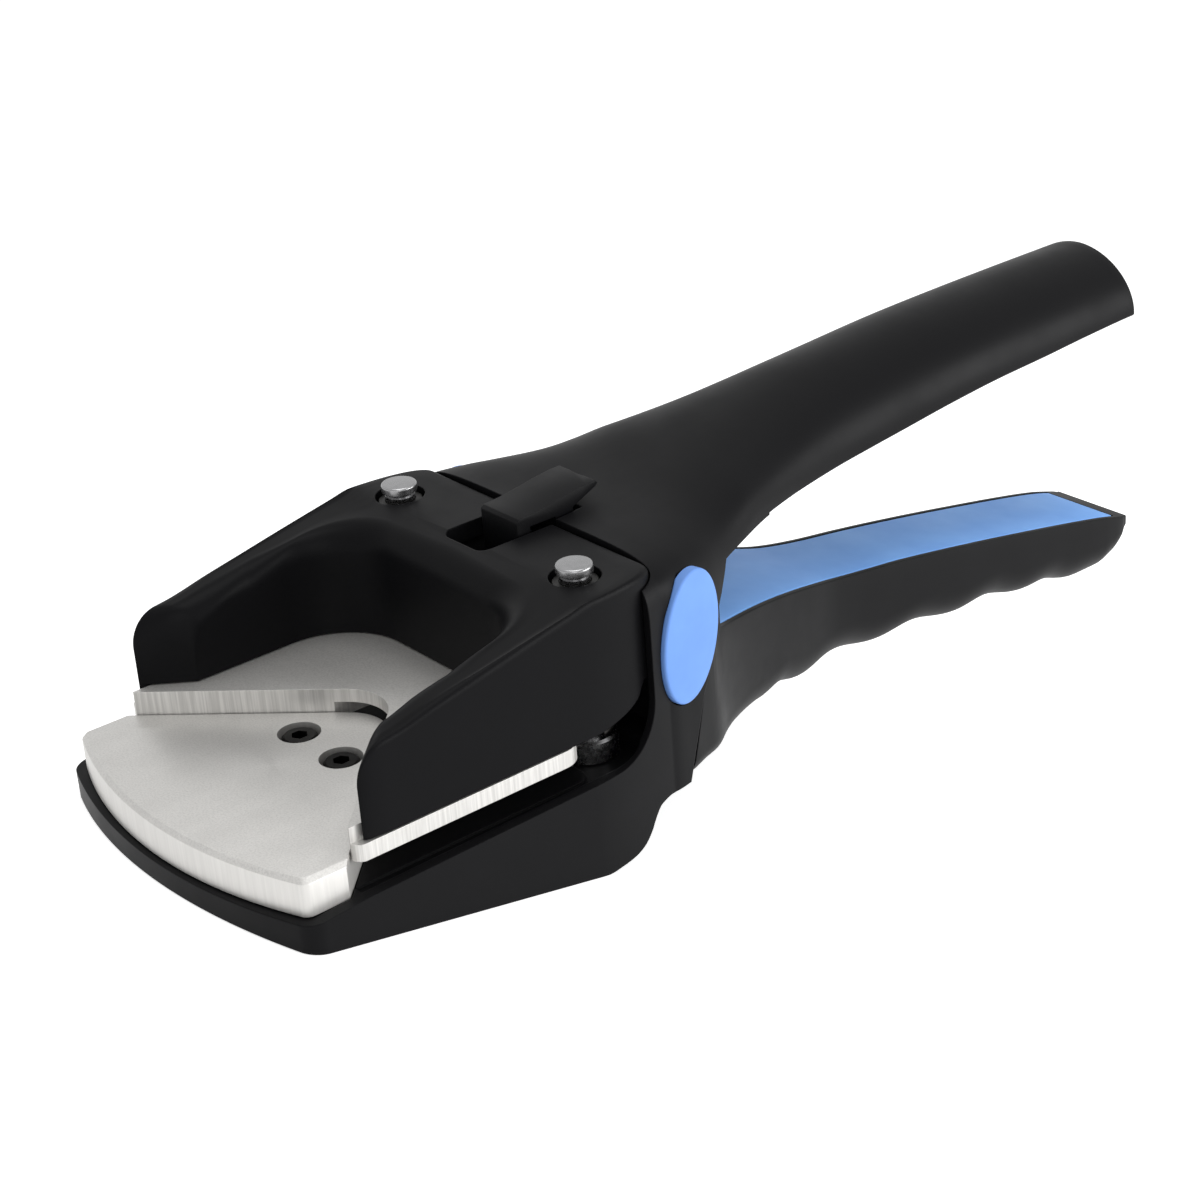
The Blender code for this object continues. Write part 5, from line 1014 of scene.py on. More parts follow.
def head_outline(grow=0.0):
    """The cutting head's rear corner seen from above, from its right side to its rear."""
    corner = []
    for along, back in arc((0.0, 0.0), 1.0, 0.0, 90.0, 2 * ARC_STEPS):
        out = max(along, 0.0) ** HEAD_CORNER_SQUARE
        corner.append((HEAD_HALF_WIDTH - HEAD_CORNER_WIDTH + (HEAD_CORNER_WIDTH + grow) * out,
                       HEAD_REAR_Y - HEAD_CORNER_LENGTH + (HEAD_CORNER_LENGTH + grow) * back))
    return corner


def head_room():
    right = [(CUTTER_HALF_WIDTH + RUN_GAP, LEDGE_REAR_Y - HEAD_CORNER_LENGTH)] + head_outline(RUN_GAP)
    return right + mirrored(right)


def front_waste():
    grow = LIP_THICKNESS + SEAT_GAP
    edge = front_outline(BODY_HALF_WIDTH, ANVIL_REACH + grow, TRAY_FRONT_RADIUS, TRAY_CORNER_RADIUS)
    return [(-FAR, edge[0][1])] + edge + [(FAR, edge[-1][1]), (FAR, -FAR), (-FAR, -FAR)]


def tray_groove():
    outer_x = CUTTER_HALF_WIDTH + RUN_GAP
    inner_x = outer_x - TRAY_GROOVE_WIDTH
    front_y = -RUN_GAP
    outer = [(outer_x, front_y)] + arc((outer_x - HEAD_CORNER_WIDTH, TRAY_WELL_REAR_Y - HEAD_CORNER_WIDTH),
                                       HEAD_CORNER_WIDTH, 0.0, 90.0)
    inner = [(inner_x, front_y)] + arc((inner_x - LEDGE_CORNER_RADIUS, LEDGE_REAR_Y - LEDGE_CORNER_RADIUS),
                                       LEDGE_CORNER_RADIUS, 0.0, 90.0)
    return outer + mirrored(outer) + [(-x, y) for x, y in inner] + list(reversed(inner))


def waist_room_mesh():
    rings = []
    wall = SHELL_WALL
    start = (BODY_FRONT_Y + FRONT_WALL - HEAD_REAR_Y) / HANDLE_LENGTH
    end = 1.0 - wall / HANDLE_LENGTH
    for share in [start] + [value for value in body_shares() if start < value < end] + [end]:
        half_width, low, shoulder, top, square = handle_section(share)
        if share < TROUGH_START_SHARE:
            low = WAIST_FLOOR_Z
            shoulder = max(shoulder, low + wall)
        else:
            low -= OVERRUN
        y = HEAD_REAR_Y + share * HANDLE_LENGTH
        rings.append(body_ring(y, half_width - wall, low, shoulder, top - wall, square))
    return loft(rings)


def cap_matrix(side):
    """From the cap's own frame, its height along Z, to its seat in one side of the body."""
    half_width = handle_section(PIVOT_BEHIND_HEAD / HANDLE_LENGTH)[0]
    place = Matrix.Translation((side * (half_width - CAP_SINK), PIVOT_Y, PIVOT_Z))
    outwards = Matrix.Rotation(side * CAP_TURN, 4, "Z") @ Matrix.Rotation(side * math.radians(90.0), 4, "Y")
    return place @ outwards @ Matrix.Rotation(-side * CAP_LEAN, 4, "Z")


def cap_cutters(side):
    """The cap's pocket in the body's side, and the groove and the flat land round it."""
    pocket = flat_solid(oval(SEAT_GAP), 0.0, 3.0 * CAP_THICKNESS)
    groove = flat_solid(oval(CAP_GROOVE), CAP_THICKNESS - CAP_GROOVE_DEPTH, 4.0 * CAP_THICKNESS)
    land = flat_solid(oval(CAP_LAND), CAP_THICKNESS - CAP_LAND_DEPTH, 4.0 * CAP_THICKNESS)
    for cutter in (pocket, groove, land):
        cutter.transform(cap_matrix(side))
    return [pocket, groove, land]


def oval(grow=0.0, share=1.0):
    points = arc((0.0, 0.0), CAP_HALF_LENGTH + grow, 0.0, 360.0, ROUND_STEPS, CAP_HALF_WIDTH + grow)[:-1]
    return [(x * share, y * share) for x, y in points]


def cover_outline(grow=0.0):
    radius = COVER_CORNER_RADIUS + grow
    x = COVER_HALF_WIDTH + grow - radius
    front, rear = COVER_FRONT_Y - grow + radius, COVER_REAR_Y + grow - radius
    return (arc((x, front), radius, -90.0, 0.0) + arc((x, rear), radius, 0.0, 90.0)
            + arc((-x, rear), radius, 90.0, 180.0) + arc((-x, front), radius, 180.0, 270.0))


def body_cutters():
    high = HANDLE_TOP
    room_x = CUTTER_HALF_WIDTH + RUN_GAP
    slot_x = LATCH_HALF_WIDTH + LATCH_SLOT_GAP
    slot_rear = LATCH_PIVOT_Y + LATCH_LUG_HALF_LENGTH + 2.0 * LATCH_SLOT_GAP
    pin_x = LATCH_PIN_HALF_LENGTH + SEAT_GAP
    window = NOSE_WINDOW_HALF_WIDTH
    cutters = [
        flat_solid(front_waste(), -high, high),
        flat_solid(underside(), -FAR, FAR, across=True),
        flat_solid(above_rim(), -FAR, FAR, across=True),
        flat_solid(rear_opening(), -FAR, FAR, across=True),
        waist_room_mesh(),
        flat_solid(anvil_outline(SEAT_GAP), TRAY_FLOOR_Z, high),
        block((-room_x, -RUN_GAP, LEDGE_Z), (room_x, LEDGE_REAR_Y + OVERRUN, high)),
        flat_solid(tray_groove(), TRAY_FLOOR_Z, high),
        flat_solid(head_room(), -CUTTER_TOP_Z, high + OVERRUN),
        block((-window, BODY_FRONT_Y - OVERRUN, NOSE_WINDOW_LOW),
              (window, BODY_FRONT_Y + FRONT_WALL + OVERRUN, NOSE_WINDOW_HIGH)),
        cross_rod(BODY_HALF_WIDTH, PIVOT_Y, PIVOT_Z, PIVOT_PIN_RADIUS + SEAT_GAP),
        block((-slot_x, BODY_FRONT_Y - OVERRUN, LATCH_SLOT_FLOOR_Z), (slot_x, slot_rear, high)),
        cross_rod(pin_x, LATCH_PIVOT_Y, LATCH_PIVOT_Z, LATCH_PIN_RADIUS + SEAT_GAP, HOLE_STEPS),
    ]
    shank_end = -COUNTERBORE_DEPTH - SOCKET_SHANK_LENGTH
    for side in SIDES:
        cutters += cap_cutters(side)
        cutters.append(upright_rod(side * ANVIL_SCREW_X, ANVIL_SCREW_Y, shank_end, 0.0,
                                   SOCKET_SHANK_RADIUS + SEAT_GAP, HOLE_STEPS))
        cutters.append(upright_rod(side * POST_X, POST_Y, TRAY_FLOOR_Z - POST_ROOT_DEPTH, 0.0,
                                   POST_RADIUS + SEAT_GAP, BORE_STEPS))
    recess = flat_solid(cover_outline(SEAT_GAP), -OVERRUN, COVER_THICKNESS + SEAT_GAP)
    recess.transform(Matrix.Translation((0.0, 0.0, -UNDERSIDE_DEPTH)) @ Matrix.Rotation(-REST_TILT, 4, "X"))
    cutters.append(recess)
    x = COVER_HALF_WIDTH - HOLLOW_INSET
    rear_y = COVER_REAR_Y - HOLLOW_INSET / 2.0
    cutters.append(block((-x, HOLLOW_FRONT_Y, -3.0 * HOLLOW_ROOF_DEPTH), (x, rear_y, -HOLLOW_ROOF_DEPTH)))
    return cutters


def build_body(colours):
    mesh = carve(body_outer_mesh(), body_cutters())
    add_piece("body_shell", mesh, body_finish(colours), "frame", ["body_frame"], 26.0)


def build_plug(colours):
    """The plug in the handle's open trough, whose lower edge just shows."""
    rings = []
    steps = 8
    inset = SHELL_WALL + SEAT_GAP
    for index in range(steps + 1):
        share = PLUG_START_SHARE + (PLUG_END_SHARE - PLUG_START_SHARE) * index / steps
        half_width, low, shoulder, top, square = handle_section(share)
        y = HEAD_REAR_Y + share * HANDLE_LENGTH
        rings.append(body_ring(y, half_width - inset, low - PLUG_DROP, shoulder, top - inset, square))
    half_width, low, shoulder, top, square = handle_section(PLUG_START_SHARE)
    x = half_width - inset - PLUG_WALL
    roof = top - inset - PLUG_WALL
    hollow = block((-x, rings[0][0][1] - OVERRUN, low - OVERRUN), (x, rings[-1][0][1] - PLUG_WALL, roof))
    add_piece("handle_insert", carve(loft(rings), [hollow]), grip_finish(colours), "frame", ["handle_plug"])


def build_caps(colours):
    """Blue oval caps, slightly domed, with rounded rims."""
    rim = CAP_RIM
    dome_steps = 8
    for side, word in NAMED_SIDES:
        rings = [[(x, y, SEAT_GAP) for x, y in oval()]]
        for turn, up in arc((0.0, 0.0), 1.0, 0.0, 90.0, 5):
            inset = rim * (turn - 1.0)
            rings.append([(x, y, CAP_THICKNESS + CAP_RISE - rim + rim * up) for x, y in oval(inset)])
        for index in range(1, dome_steps):
            share = 1.0 - index / dome_steps
            height = CAP_THICKNESS + CAP_RISE + CAP_DOME * (1.0 - share ** 2)
            rings.append([(x, y, height) for x, y in oval(-rim, share)])
        mesh = loft(rings)
        mesh.transform(cap_matrix(side))
        add_piece("hinge_cap_" + word, mesh, cap_finish(colours), "frame", ["pivot_cap_" + word],
                  crease=60.0)


# Blades

def build_anvil(colours):
    """The table under the card, with a rounded chamfer at the front and the sides, sharp round the nose."""
    rings = [[(x, y, -ANVIL_THICKNESS) for x, y in anvil_outline()]]
    for depth, inset in ANVIL_CHAMFER_SHARES:
        outline = anvil_outline(0.0, inset * ANVIL_CHAMFER)
        rings.append([(x, y, -depth * ANVIL_CHAMFER) for x, y in outline])
    cutters = []
    for side in SIDES:
        x, y = side * ANVIL_SCREW_X, ANVIL_SCREW_Y
        cutters.append(upright_rod(x, y, -COUNTERBORE_DEPTH, OVERRUN, COUNTERBORE_RADIUS))
        cutters.append(upright_rod(x, y, -ANVIL_THICKNESS - OVERRUN, 0.0, SOCKET_SHANK_RADIUS + SEAT_GAP,
                                   HOLE_STEPS))
    add_piece("anvil_table", carve(loft(rings), cutters), anvil_finish(colours), "frame", ["anvil_plate"],
              crease=20.0)


def build_cutter(colours):
    """The notched blade, with rebates for the housing's skirt and a chip pocket under the apex."""
    cutters = []
    for side in SIDES:
        ends = sorted((side * CUTTER_REBATE_X, side * FAR))
        cutters.append(block((ends[0], -OVERRUN, CUTTER_REBATE_Z),
                             (ends[1], CUTTER_LENGTH + OVERRUN, DECK_HEIGHT)))
    tip_y = NOTCH_HALF_WIDTH + CHIP_POCKET_RELIEF
    x, relief = CHIP_POCKET_HALF_WIDTH, CHIP_POCKET_RELIEF
    pocket = [(-x, NOTCH_HALF_WIDTH - x), (x, NOTCH_HALF_WIDTH - x)]
    pocket += arc((x - relief, tip_y - relief), relief, 0.0, 90.0)
    pocket += arc((relief - x, tip_y - relief), relief, 90.0, 180.0)
    cutters.append(flat_solid(pocket, CUTTER_BASE_Z - OVERRUN, CHIP_POCKET_HEIGHT))
    head_top_z = CUTTER_BASE_Z + CUTTER_SCREW_HEAD_HEIGHT + SEAT_GAP
    for x, y in cutter_screw_places():
        cutters.append(upright_rod(x, y, CUTTER_BASE_Z - OVERRUN, head_top_z,
                                   CUTTER_SCREW_HEAD_RADIUS + SEAT_GAP, BORE_STEPS))
        cutters.append(upright_rod(x, y, CUTTER_BASE_Z, CUTTER_TOP_Z + OVERRUN,
                                   CUTTER_SCREW_RADIUS + SEAT_GAP, HOLE_STEPS))
    mesh = carve(flat_solid(cutter_outline(), CUTTER_BASE_Z, CUTTER_TOP_Z), cutters)
    add_piece("notched_blade", mesh, blade_finish(colours), "head", ["cutter_plate"],
              crease=20.0)


# Cutting head

def head_top(y):
    return between(HEAD_TOP_SHARES, y / HEAD_REAR_Y)[0] * DECK_HEIGHT


def head_pairs():
    """Matched places on the outside and in the pocket, from the prong's tip to the rear's middle."""
    outer_x, inner_x = HEAD_HALF_WIDTH, POCKET_HALF_WIDTH
    inner_y = PRONG_FACE_Y + PRONG_FACE_SWEEP
    straight_end = HEAD_REAR_Y - HEAD_CORNER_LENGTH
    corner_start = POCKET_REAR_Y - POCKET_CORNER_RADIUS
    pairs = []
    for index in range(ARC_STEPS + 1):
        angle = math.radians(90.0 * index / ARC_STEPS)
        back = PRONG_NOSE_RADIUS * (1.0 - math.cos(angle))
        drop = PRONG_NOSE_RADIUS * (1.0 - math.sin(angle))
        side = PRONG_CORNER_RADIUS * (1.0 - math.sin(angle))
        pairs.append(((outer_x - side, PRONG_FACE_Y + back), (inner_x, inner_y + back / 2.0), drop))
    first = pairs[-1]
    for index in range(1, 2 * ARC_STEPS):
        share = index / (2 * ARC_STEPS)
        outer_y = first[0][1] + (straight_end - first[0][1]) * share
        side_y = first[1][1] + (corner_start - first[1][1]) * share
        pairs.append(((outer_x, outer_y), (inner_x, side_y), 0.0))
    inner_arc = arc((POCKET_HALF_WIDTH - POCKET_CORNER_RADIUS, corner_start), POCKET_CORNER_RADIUS, 0.0, 90.0,
                    2 * ARC_STEPS)
    for outer, inner in zip(head_outline(), inner_arc):
        pairs.append((outer, inner, 0.0))
    pairs.append(((0.0, HEAD_REAR_Y), (0.0, POCKET_REAR_Y), 0.0))
    return pairs


def head_ring(outer, inner, drop):
    """One section through the head's wall, from the outside over the top into the pocket."""
    edge = DECK_EDGE
    span = Vector(inner) - Vector(outer)
    inward = span.normalized()
    radius = min(POCKET_RIM_RADIUS, span.length / 2.0)
    outer_top = head_top(outer[1]) - drop
    wall = SKIRT_WALL
    if outer[1] < CUTTER_LENGTH:
        wall = min(wall, (outer[0] - CUTTER_REBATE_X - SEAT_GAP) / -inward.x)
    skirt = Vector(outer) + inward * wall
    points = [(*skirt, HOUSING_BASE_Z), (*skirt, SKIRT_BASE_Z), (*outer, SKIRT_BASE_Z)]
    for turn, up in arc((0.0, 0.0), 1.0, 180.0, 90.0, 6):
        place = Vector(outer) + inward * edge * (1.0 + turn)
        points.append((*place, outer_top - edge * (1.0 - up)))
    lip = Vector(outer) + inward * edge
    start = Vector(inner) - inward * radius
    rim_top = head_top(start.y) - drop
    deck_steps = 6
    for index in range(1, deck_steps):
        place = lip.lerp(start, index / deck_steps)
        points.append((*place, head_top(place.y) - drop))
    for index in range(ARC_STEPS + 1):
        angle = math.radians(90.0 * index / ARC_STEPS)
        place = start + inward * radius * math.sin(angle)
        points.append((*place, rim_top - radius * (1.0 - math.cos(angle))))
    points.append((*inner, HOUSING_BASE_Z))
    return points


def head_cutters():
    length = HEAD_REAR_Y - HEAD_UNDERCUT_Y
    curve = []
    for index in range(2 * ARC_STEPS + 1):
        along = UNDERCUT_SHARES[-1][0] * index / (2 * ARC_STEPS)
        rise = between(UNDERCUT_SHARES, along)[0]
        curve.append((HEAD_UNDERCUT_Y + along * length, SKIRT_BASE_Z + rise * length))
    curve.append((HEAD_REAR_Y + OVERRUN, curve[-1][1] + OVERRUN / 2.0))
    undercut = [(HEAD_UNDERCUT_Y, 0.0)] + curve + [(HEAD_REAR_Y + OVERRUN, 0.0)]
    cutters = []
    for side in SIDES:
        ends = sorted((side * HEAD_UNDERCUT_X, side * FAR))
        cutters.append(flat_solid(undercut, ends[0], ends[1], across=True))
        x = side * POST_X
        cutters.append(upright_rod(x, POST_Y, BUSH_BASE_Z - OVERRUN, DECK_HEIGHT + OVERRUN,
                                   BUSH_OUTER_RADIUS + SEAT_GAP))
        cutters.append(upright_rod(x, POST_Y, 0.0, BUSH_BASE_Z, SPRING_POCKET_RADIUS))
    cavity_x = HEAD_CAVITY_HALF_WIDTH
    cutters.append(block((-cavity_x, HEAD_CAVITY_FRONT_Y, PAD_TOP_Z - SEAT_GAP),
                         (cavity_x, HEAD_REAR_Y + OVERRUN, HEAD_CAVITY_ROOF)))
    pad_x = PAD_HALF_WIDTH + SEAT_GAP
    pad_y = PAD_LENGTH / 2.0 + SEAT_GAP
    cutters.append(block((-pad_x, NOSE_Y - pad_y, PAD_TOP_Z - PAD_THICKNESS - SEAT_GAP),
                         (pad_x, NOSE_Y + pad_y, PAD_TOP_Z + SEAT_GAP)))
    cutters.append(block((-cavity_x, NOSE_Y + pad_y, HOUSING_BASE_Z + CUTTER_TOP_Z / 2.0),
                         (cavity_x, HEAD_REAR_Y + OVERRUN, PAD_TOP_Z)))
    radius = DECK_SLOT_CORNER_RADIUS
    slot_x = DECK_SLOT_HALF_WIDTH
    right = arc((slot_x - radius, DECK_SLOT_FRONT_Y + radius), radius, -90.0, 0.0)
    right.append((slot_x, HEAD_REAR_Y + OVERRUN))
    cutters.append(flat_solid(right + mirrored(right), HEAD_CAVITY_ROOF - OVERRUN, DECK_HEIGHT + OVERRUN))
    for x, y in cutter_screw_places():
        cutters.append(upright_rod(x, y, 0.0, CUTTER_SCREW_LENGTH + SEAT_GAP, CUTTER_SCREW_RADIUS + SEAT_GAP,
                                   HOLE_STEPS))
    return cutters


def build_head(colours):
    half = [head_ring(*pair) for pair in head_pairs()]
    left = [[(-x, y, z) for x, y, z in ring] for ring in reversed(half[:-1])]
    mesh = carve(loft(half + left), head_cutters())
    add_piece("head_shell", mesh, head_finish(colours), "head", ["head_housing"], 30.0)


# Posts and springs

def build_posts(colours):
    """Posts with a grooved, crowned head above the deck and a flange on the tray floor."""
    top = POST_TOP_Z
    neck = top - POST_HEAD_HEIGHT
    flange = TRAY_FLOOR_Z + SEAT_GAP
    root = TRAY_FLOOR_Z - POST_ROOT_DEPTH + SEAT_GAP
    crown = POST_HEAD_CROWN
    head = [(0.0, top)]
    for turn, up in arc((0.0, 0.0), 1.0, 90.0, 0.0, 6):
        head.append((POST_HEAD_RADIUS - crown + crown * turn, top - crown + crown * up))
    profile = head + [
        (POST_HEAD_RADIUS, neck + crown / 4.0), (POST_HEAD_RADIUS - crown / 4.0, neck),
        (POST_NECK_RADIUS, neck - crown), (POST_NECK_RADIUS, neck - POST_NECK_HEIGHT),
        (POST_RADIUS, neck - POST_NECK_HEIGHT), (POST_RADIUS, FLANGE_TOP_Z),
        (POST_FLANGE_RADIUS - crown, FLANGE_TOP_Z), (POST_FLANGE_RADIUS, FLANGE_TOP_Z - crown),
        (POST_FLANGE_RADIUS, flange), (POST_RADIUS, flange), (POST_RADIUS, root), (0.0, root)]
    for side, word in NAMED_SIDES:
        add_piece("post_" + word, turned(profile, side * POST_X, POST_Y), post_finish(colours), "frame",
                  ["guide_post_" + word])


def spring_mesh(x):
    """One unbroken coil of round wire."""
    low = FLANGE_TOP_Z + SPRING_WIRE_RADIUS + SEAT_GAP
    high = BUSH_BASE_Z - SPRING_WIRE_RADIUS - SEAT_GAP
    count = SPRING_TURNS * SPRING_STEPS
    data = bpy.data.curves.new("coil", "CURVE")
    data.dimensions = "3D"
    data.bevel_depth = SPRING_WIRE_RADIUS
    data.bevel_resolution = 3
    data.use_fill_caps = True
    spline = data.splines.new("POLY")
    spline.points.add(count)
    for index, point in enumerate(spline.points):
        share = index / count
        angle = math.tau * index / SPRING_STEPS
        point.co = (x + SPRING_RADIUS * math.cos(angle), POST_Y + SPRING_RADIUS * math.sin(angle),
                    low + (high - low) * share, 1.0)
    return taken_mesh(put_object("coil", data))


def build_springs():
    """Return springs round the posts, built at one length; the real ones shorten as the head comes down."""
    for side, word in NAMED_SIDES:
        x = side * POST_X
        spring = add_piece("coil_" + word, spring_mesh(x), spring_finish(), "frame", ["return_spring_" + word],
                           crease=60.0)
        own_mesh(spring)


# Latch

def latch_profile():
    """The hook from the side: leg, arm with its lug, and thin raised tail."""
    front, top = LATCH_FRONT_Y, LATCH_TOP_Z
    arm_low = top - LATCH_ARM_THICKNESS
    lug_front, lug_rear = LATCH_PIVOT_Y - LATCH_LUG_HALF_LENGTH, LATCH_PIVOT_Y + LATCH_LUG_HALF_LENGTH
    lug_low = LATCH_PIVOT_Z - LATCH_LUG_DROP
    edge = LATCH_TAIL_THICKNESS / 2.0
    leg = front + LATCH_LEG_THICKNESS
    tail_low = LATCH_TAIL_Z - LATCH_TAIL_THICKNESS
    back = []
    back_steps = 8
    for index in range(back_steps + 1):
        share = index / back_steps
        y =LATCH_TAIL_Y - edge + (front + 2.0 * edge - LATCH_TAIL_Y) * share
        back.append((y, LATCH_TAIL_Z + (top - LATCH_TAIL_Z) * (3.0 * share ** 2 - 2.0 * share ** 3)))
    return [
        (front, LATCH_LEG_BOTTOM_Z), (leg, LATCH_LEG_BOTTOM_Z), (leg, arm_low), (lug_front, arm_low),
        (lug_front, lug_low + edge), (lug_front + edge, lug_low), (lug_rear - edge, lug_low),
        (lug_rear, lug_low + edge), (lug_rear, arm_low + edge), (LATCH_TAIL_Y - edge, tail_low),
        (LATCH_TAIL_Y, tail_low + edge),
    ] + back + [(front, top - edge)]


def build_latch(colours):
    mesh = flat_solid(latch_profile(), -LATCH_HALF_WIDTH, LATCH_HALF_WIDTH, across=True)
    scoop_y = LATCH_TAIL_Y + LATCH_SCOOP_RADIUS - LATCH_SCOOP_DEPTH
    cutters = [upright_rod(0.0, scoop_y, LATCH_LEG_BOTTOM_Z, HANDLE_TOP, LATCH_SCOOP_RADIUS),
               cross_rod(LATCH_HALF_WIDTH + OVERRUN, LATCH_PIVOT_Y, LATCH_PIVOT_Z, LATCH_PIN_RADIUS + SEAT_GAP,
                         BORE_STEPS)]
    hook = soften(carve(mesh, cutters), LATCH_EDGE)
    add_piece("lock_hook", hook, grip_finish(colours), "latch_body", ["latch"],
              crease=25.0)


# Lever

def finger_wave(share):
    for here, there in zip(FINGER_CREST_SHARES, FINGER_CREST_SHARES[1:]):
        if here <= share <= there:
            return FINGER_DEPTH * math.sin(math.pi * (share - here) / (there - here)) ** 2
    return 0.0


def lever_section(share):
    half_width, top, low, rounding = between(LEVER_STATION_SHARES, share)
    low = low * LEVER_END_DROP + finger_wave(share)
    return (half_width * GRIP_HALF_WIDTH, top * LEVER_END_DROP, low, rounding)


def lever_ring(share, inset=0.0, top_inset=0.0, floor=0.0):
    """One upright section: flat top, upright sides and a rounded bottom."""
    half_width, top, low, rounding = lever_section(share)
    y = HEAD_REAR_Y + share * LEVER_LENGTH
    wide = half_width - inset
    bottom = low + floor
    top -= top_inset
    round_x = wide * rounding
    round_z = min((top - bottom) * 0.6, round_x * 0.9 + inset)
    rim = GRIP_RIM_EDGE
    corner = arc((wide - rim, top - rim), rim, 90.0, 0.0, 3)
    right = corner + arc((wide - round_x, bottom + round_z), round_x, 0.0, -90.0, ARC_STEPS, round_z)
    outline = right + [(-x, z) for x, z in reversed(right)]
    return [(x, y, z) for x, z in outline]


def lever_shares(start=0.0, end=1.0):
    shares = [index / LEVER_RINGS for index in range(LEVER_RINGS)]
    shares += [0.94 + 0.06 * index / 16.0 for index in range(16)]
    kept = [start]
    for share in sorted(set(shares)):
        if share - kept[-1] > 0.0012 and end - share > 0.0012:
            kept.append(share)
    return kept + [end]


def lever_waste():
    low = 2.0 * REAR_EDGE[0][1]
    edge = [(y + GRIP_FRONT_GAP, z) for y, z in rear_edge()[:2]]
    step = (edge[1][0] - edge[0][0]) / (edge[1][1] - edge[0][1])
    start = (edge[0][0] + (low - edge[0][1]) * step, low)
    edge += arc((PIVOT_Y, PIVOT_Z), SWING_RADIUS, -SWING_START, -SWING_END)
    high = PIVOT_Z + HANDLE_TOP
    front = HEAD_REAR_Y - OVERRUN
    return [(front - OVERRUN, low), start] + edge + [(edge[-1][0], high), (front - OVERRUN, high)]


def inlay_ring(share, grow=0.0, rise=0.0):
    """One section of the blue inlay, a flat strip with eased edges, its top flush with the grip's rim."""
    rim = INLAY_EDGE
    half_width, top, low, rounding = lever_section(share)
    y = HEAD_REAR_Y + share * LEVER_LENGTH
    x = half_width - INLAY_RIM - SEAT_GAP + grow
    base = top - INLAY_THICKNESS - grow
    corner = arc((x - rim, top + rise - rim), rim, 0.0, 90.0, 3)
    right = [(x, base)] + corner
    return [(px, y, pz) for px, pz in right + mirrored(right)]


def inlay_shares(front_shift=0.0, end_shift=0.0):
    return lever_shares(INLAY_FRONT_SHARE + front_shift / LEVER_LENGTH,
                        INLAY_END_SHARE + end_shift / LEVER_LENGTH)


def throat_ring(share):
    half_width, top, low, rounding = lever_section(share)
    y = HEAD_REAR_Y + share * LEVER_LENGTH
    x = half_width - GRIP_WALL
    floor = -INLAY_THICKNESS * 2.0
    return [(x, y, floor), (x, y, top + OVERRUN), (-x, y, top + OVERRUN), (-x, y, floor)]


def build_grip(colours):
    """The black channel of the lower lever with its finger ridges."""
    last = LEVER_STATION_SHARES[-2][0] - GRIP_WALL / LEVER_LENGTH
    hollow = [lever_ring(share, GRIP_WALL, INLAY_THICKNESS + SEAT_GAP, GRIP_WALL)
              for share in lever_shares(0.0, last)]
    seat = [inlay_ring(share, SEAT_GAP, OVERRUN) for share in inlay_shares(-SEAT_GAP, SEAT_GAP)]
    throat = [throat_ring(INLAY_FRONT_SHARE * index / 12.0) for index in range(13)]
    cutters = [flat_solid(lever_waste(), -FAR, FAR, across=True), loft(hollow), loft(seat), loft(throat)]
    mesh = carve(loft([lever_ring(share) for share in lever_shares()]), cutters)
    add_piece("grip_shell", mesh, grip_finish(colours), "lever", ["lever_grip"], 26.0)


def build_inlay(colours):
    mesh = loft([inlay_ring(share) for share in inlay_shares()])
    add_piece("blue_strip", mesh, blue_finish(colours), "lever", ["lever_inlay"], 50.0)


# Small pieces that keep the model's own shape

def dress_fasteners(colours):
    finish = black_steel_finish(colours)
    for node in frame["nodes"]:
        if "screw" in node or node.startswith("post_bush"):
            dress(node, finish)
    dress("base_cover", head_finish(colours))


def dress_drive():
    for node in ("pivot_pin", "latch_pin", "nose_pin", "nose_roller", "pressure_pad"):
        dress(node, drawn_steel_finish())
    for node in ("pivot_bush_left", "pivot_bush_right"):
        dress(node, bronze_finish())
    dress("lever_core", casting_finish())


# Camera, lamps and floor

def add_camera():
    """A long lens that looks at the tool from its front right, a little above it."""
    turn, rise, roll = math.radians(52.42), math.radians(25.84), math.radians(-4.38)
    distance, across, up_shift = 0.4890, 0.0664, 0.0330
    back = Vector((math.sin(turn) * math.cos(rise), -math.cos(turn) * math.cos(rise), math.sin(rise)))
    level = Vector((math.cos(turn), math.sin(turn), 0.0))
    above = back.cross(level)
    right = level * math.cos(roll) + above * math.sin(roll)
    up = above * math.cos(roll) - level * math.sin(roll)
    eye = back * distance + right * across + up * up_shift
    data = bpy.data.cameras.new("studio_camera")
    data.sensor_width = 36.0
    data.lens = 36.0 * 2664.0 / 1200.0
    data.clip_start = 0.01
    data.clip_end = 20.0
    camera = bpy.data.objects.new("studio_camera", data)
    bpy.context.scene.collection.objects.link(camera)
    axes = Matrix((right, up, back)).transposed().to_4x4()
    camera.matrix_world = TOOL @ Matrix.Translation(eye) @ axes
    bpy.context.scene.camera = camera


def add_lamp(name, place, aim, width, height, power):
    data = bpy.data.lights.new(name, "AREA")
    data.shape = "RECTANGLE"
    data.size = width
    data.size_y = height
    data.energy = power
    lamp = bpy.data.objects.new(name, data)
    bpy.context.scene.collection.objects.link(lamp)
    direction = Vector(aim) - Vector(place)
    lamp.rotation_euler = direction.to_track_quat("-Z", "Y").to_euler()
    lamp.location = place
    return lamp


def background_share(tree):
    """One for the rays that show the background: from the camera, and through gloss and glass."""
    path = add_node(tree, "ShaderNodeLightPath")
    seen = math_node(tree, "MAXIMUM", path.outputs["Is Camera Ray"], path.outputs["Is Glossy Ray"])
    return math_node(tree, "MAXIMUM", seen, path.outputs["Is Transmission Ray"])


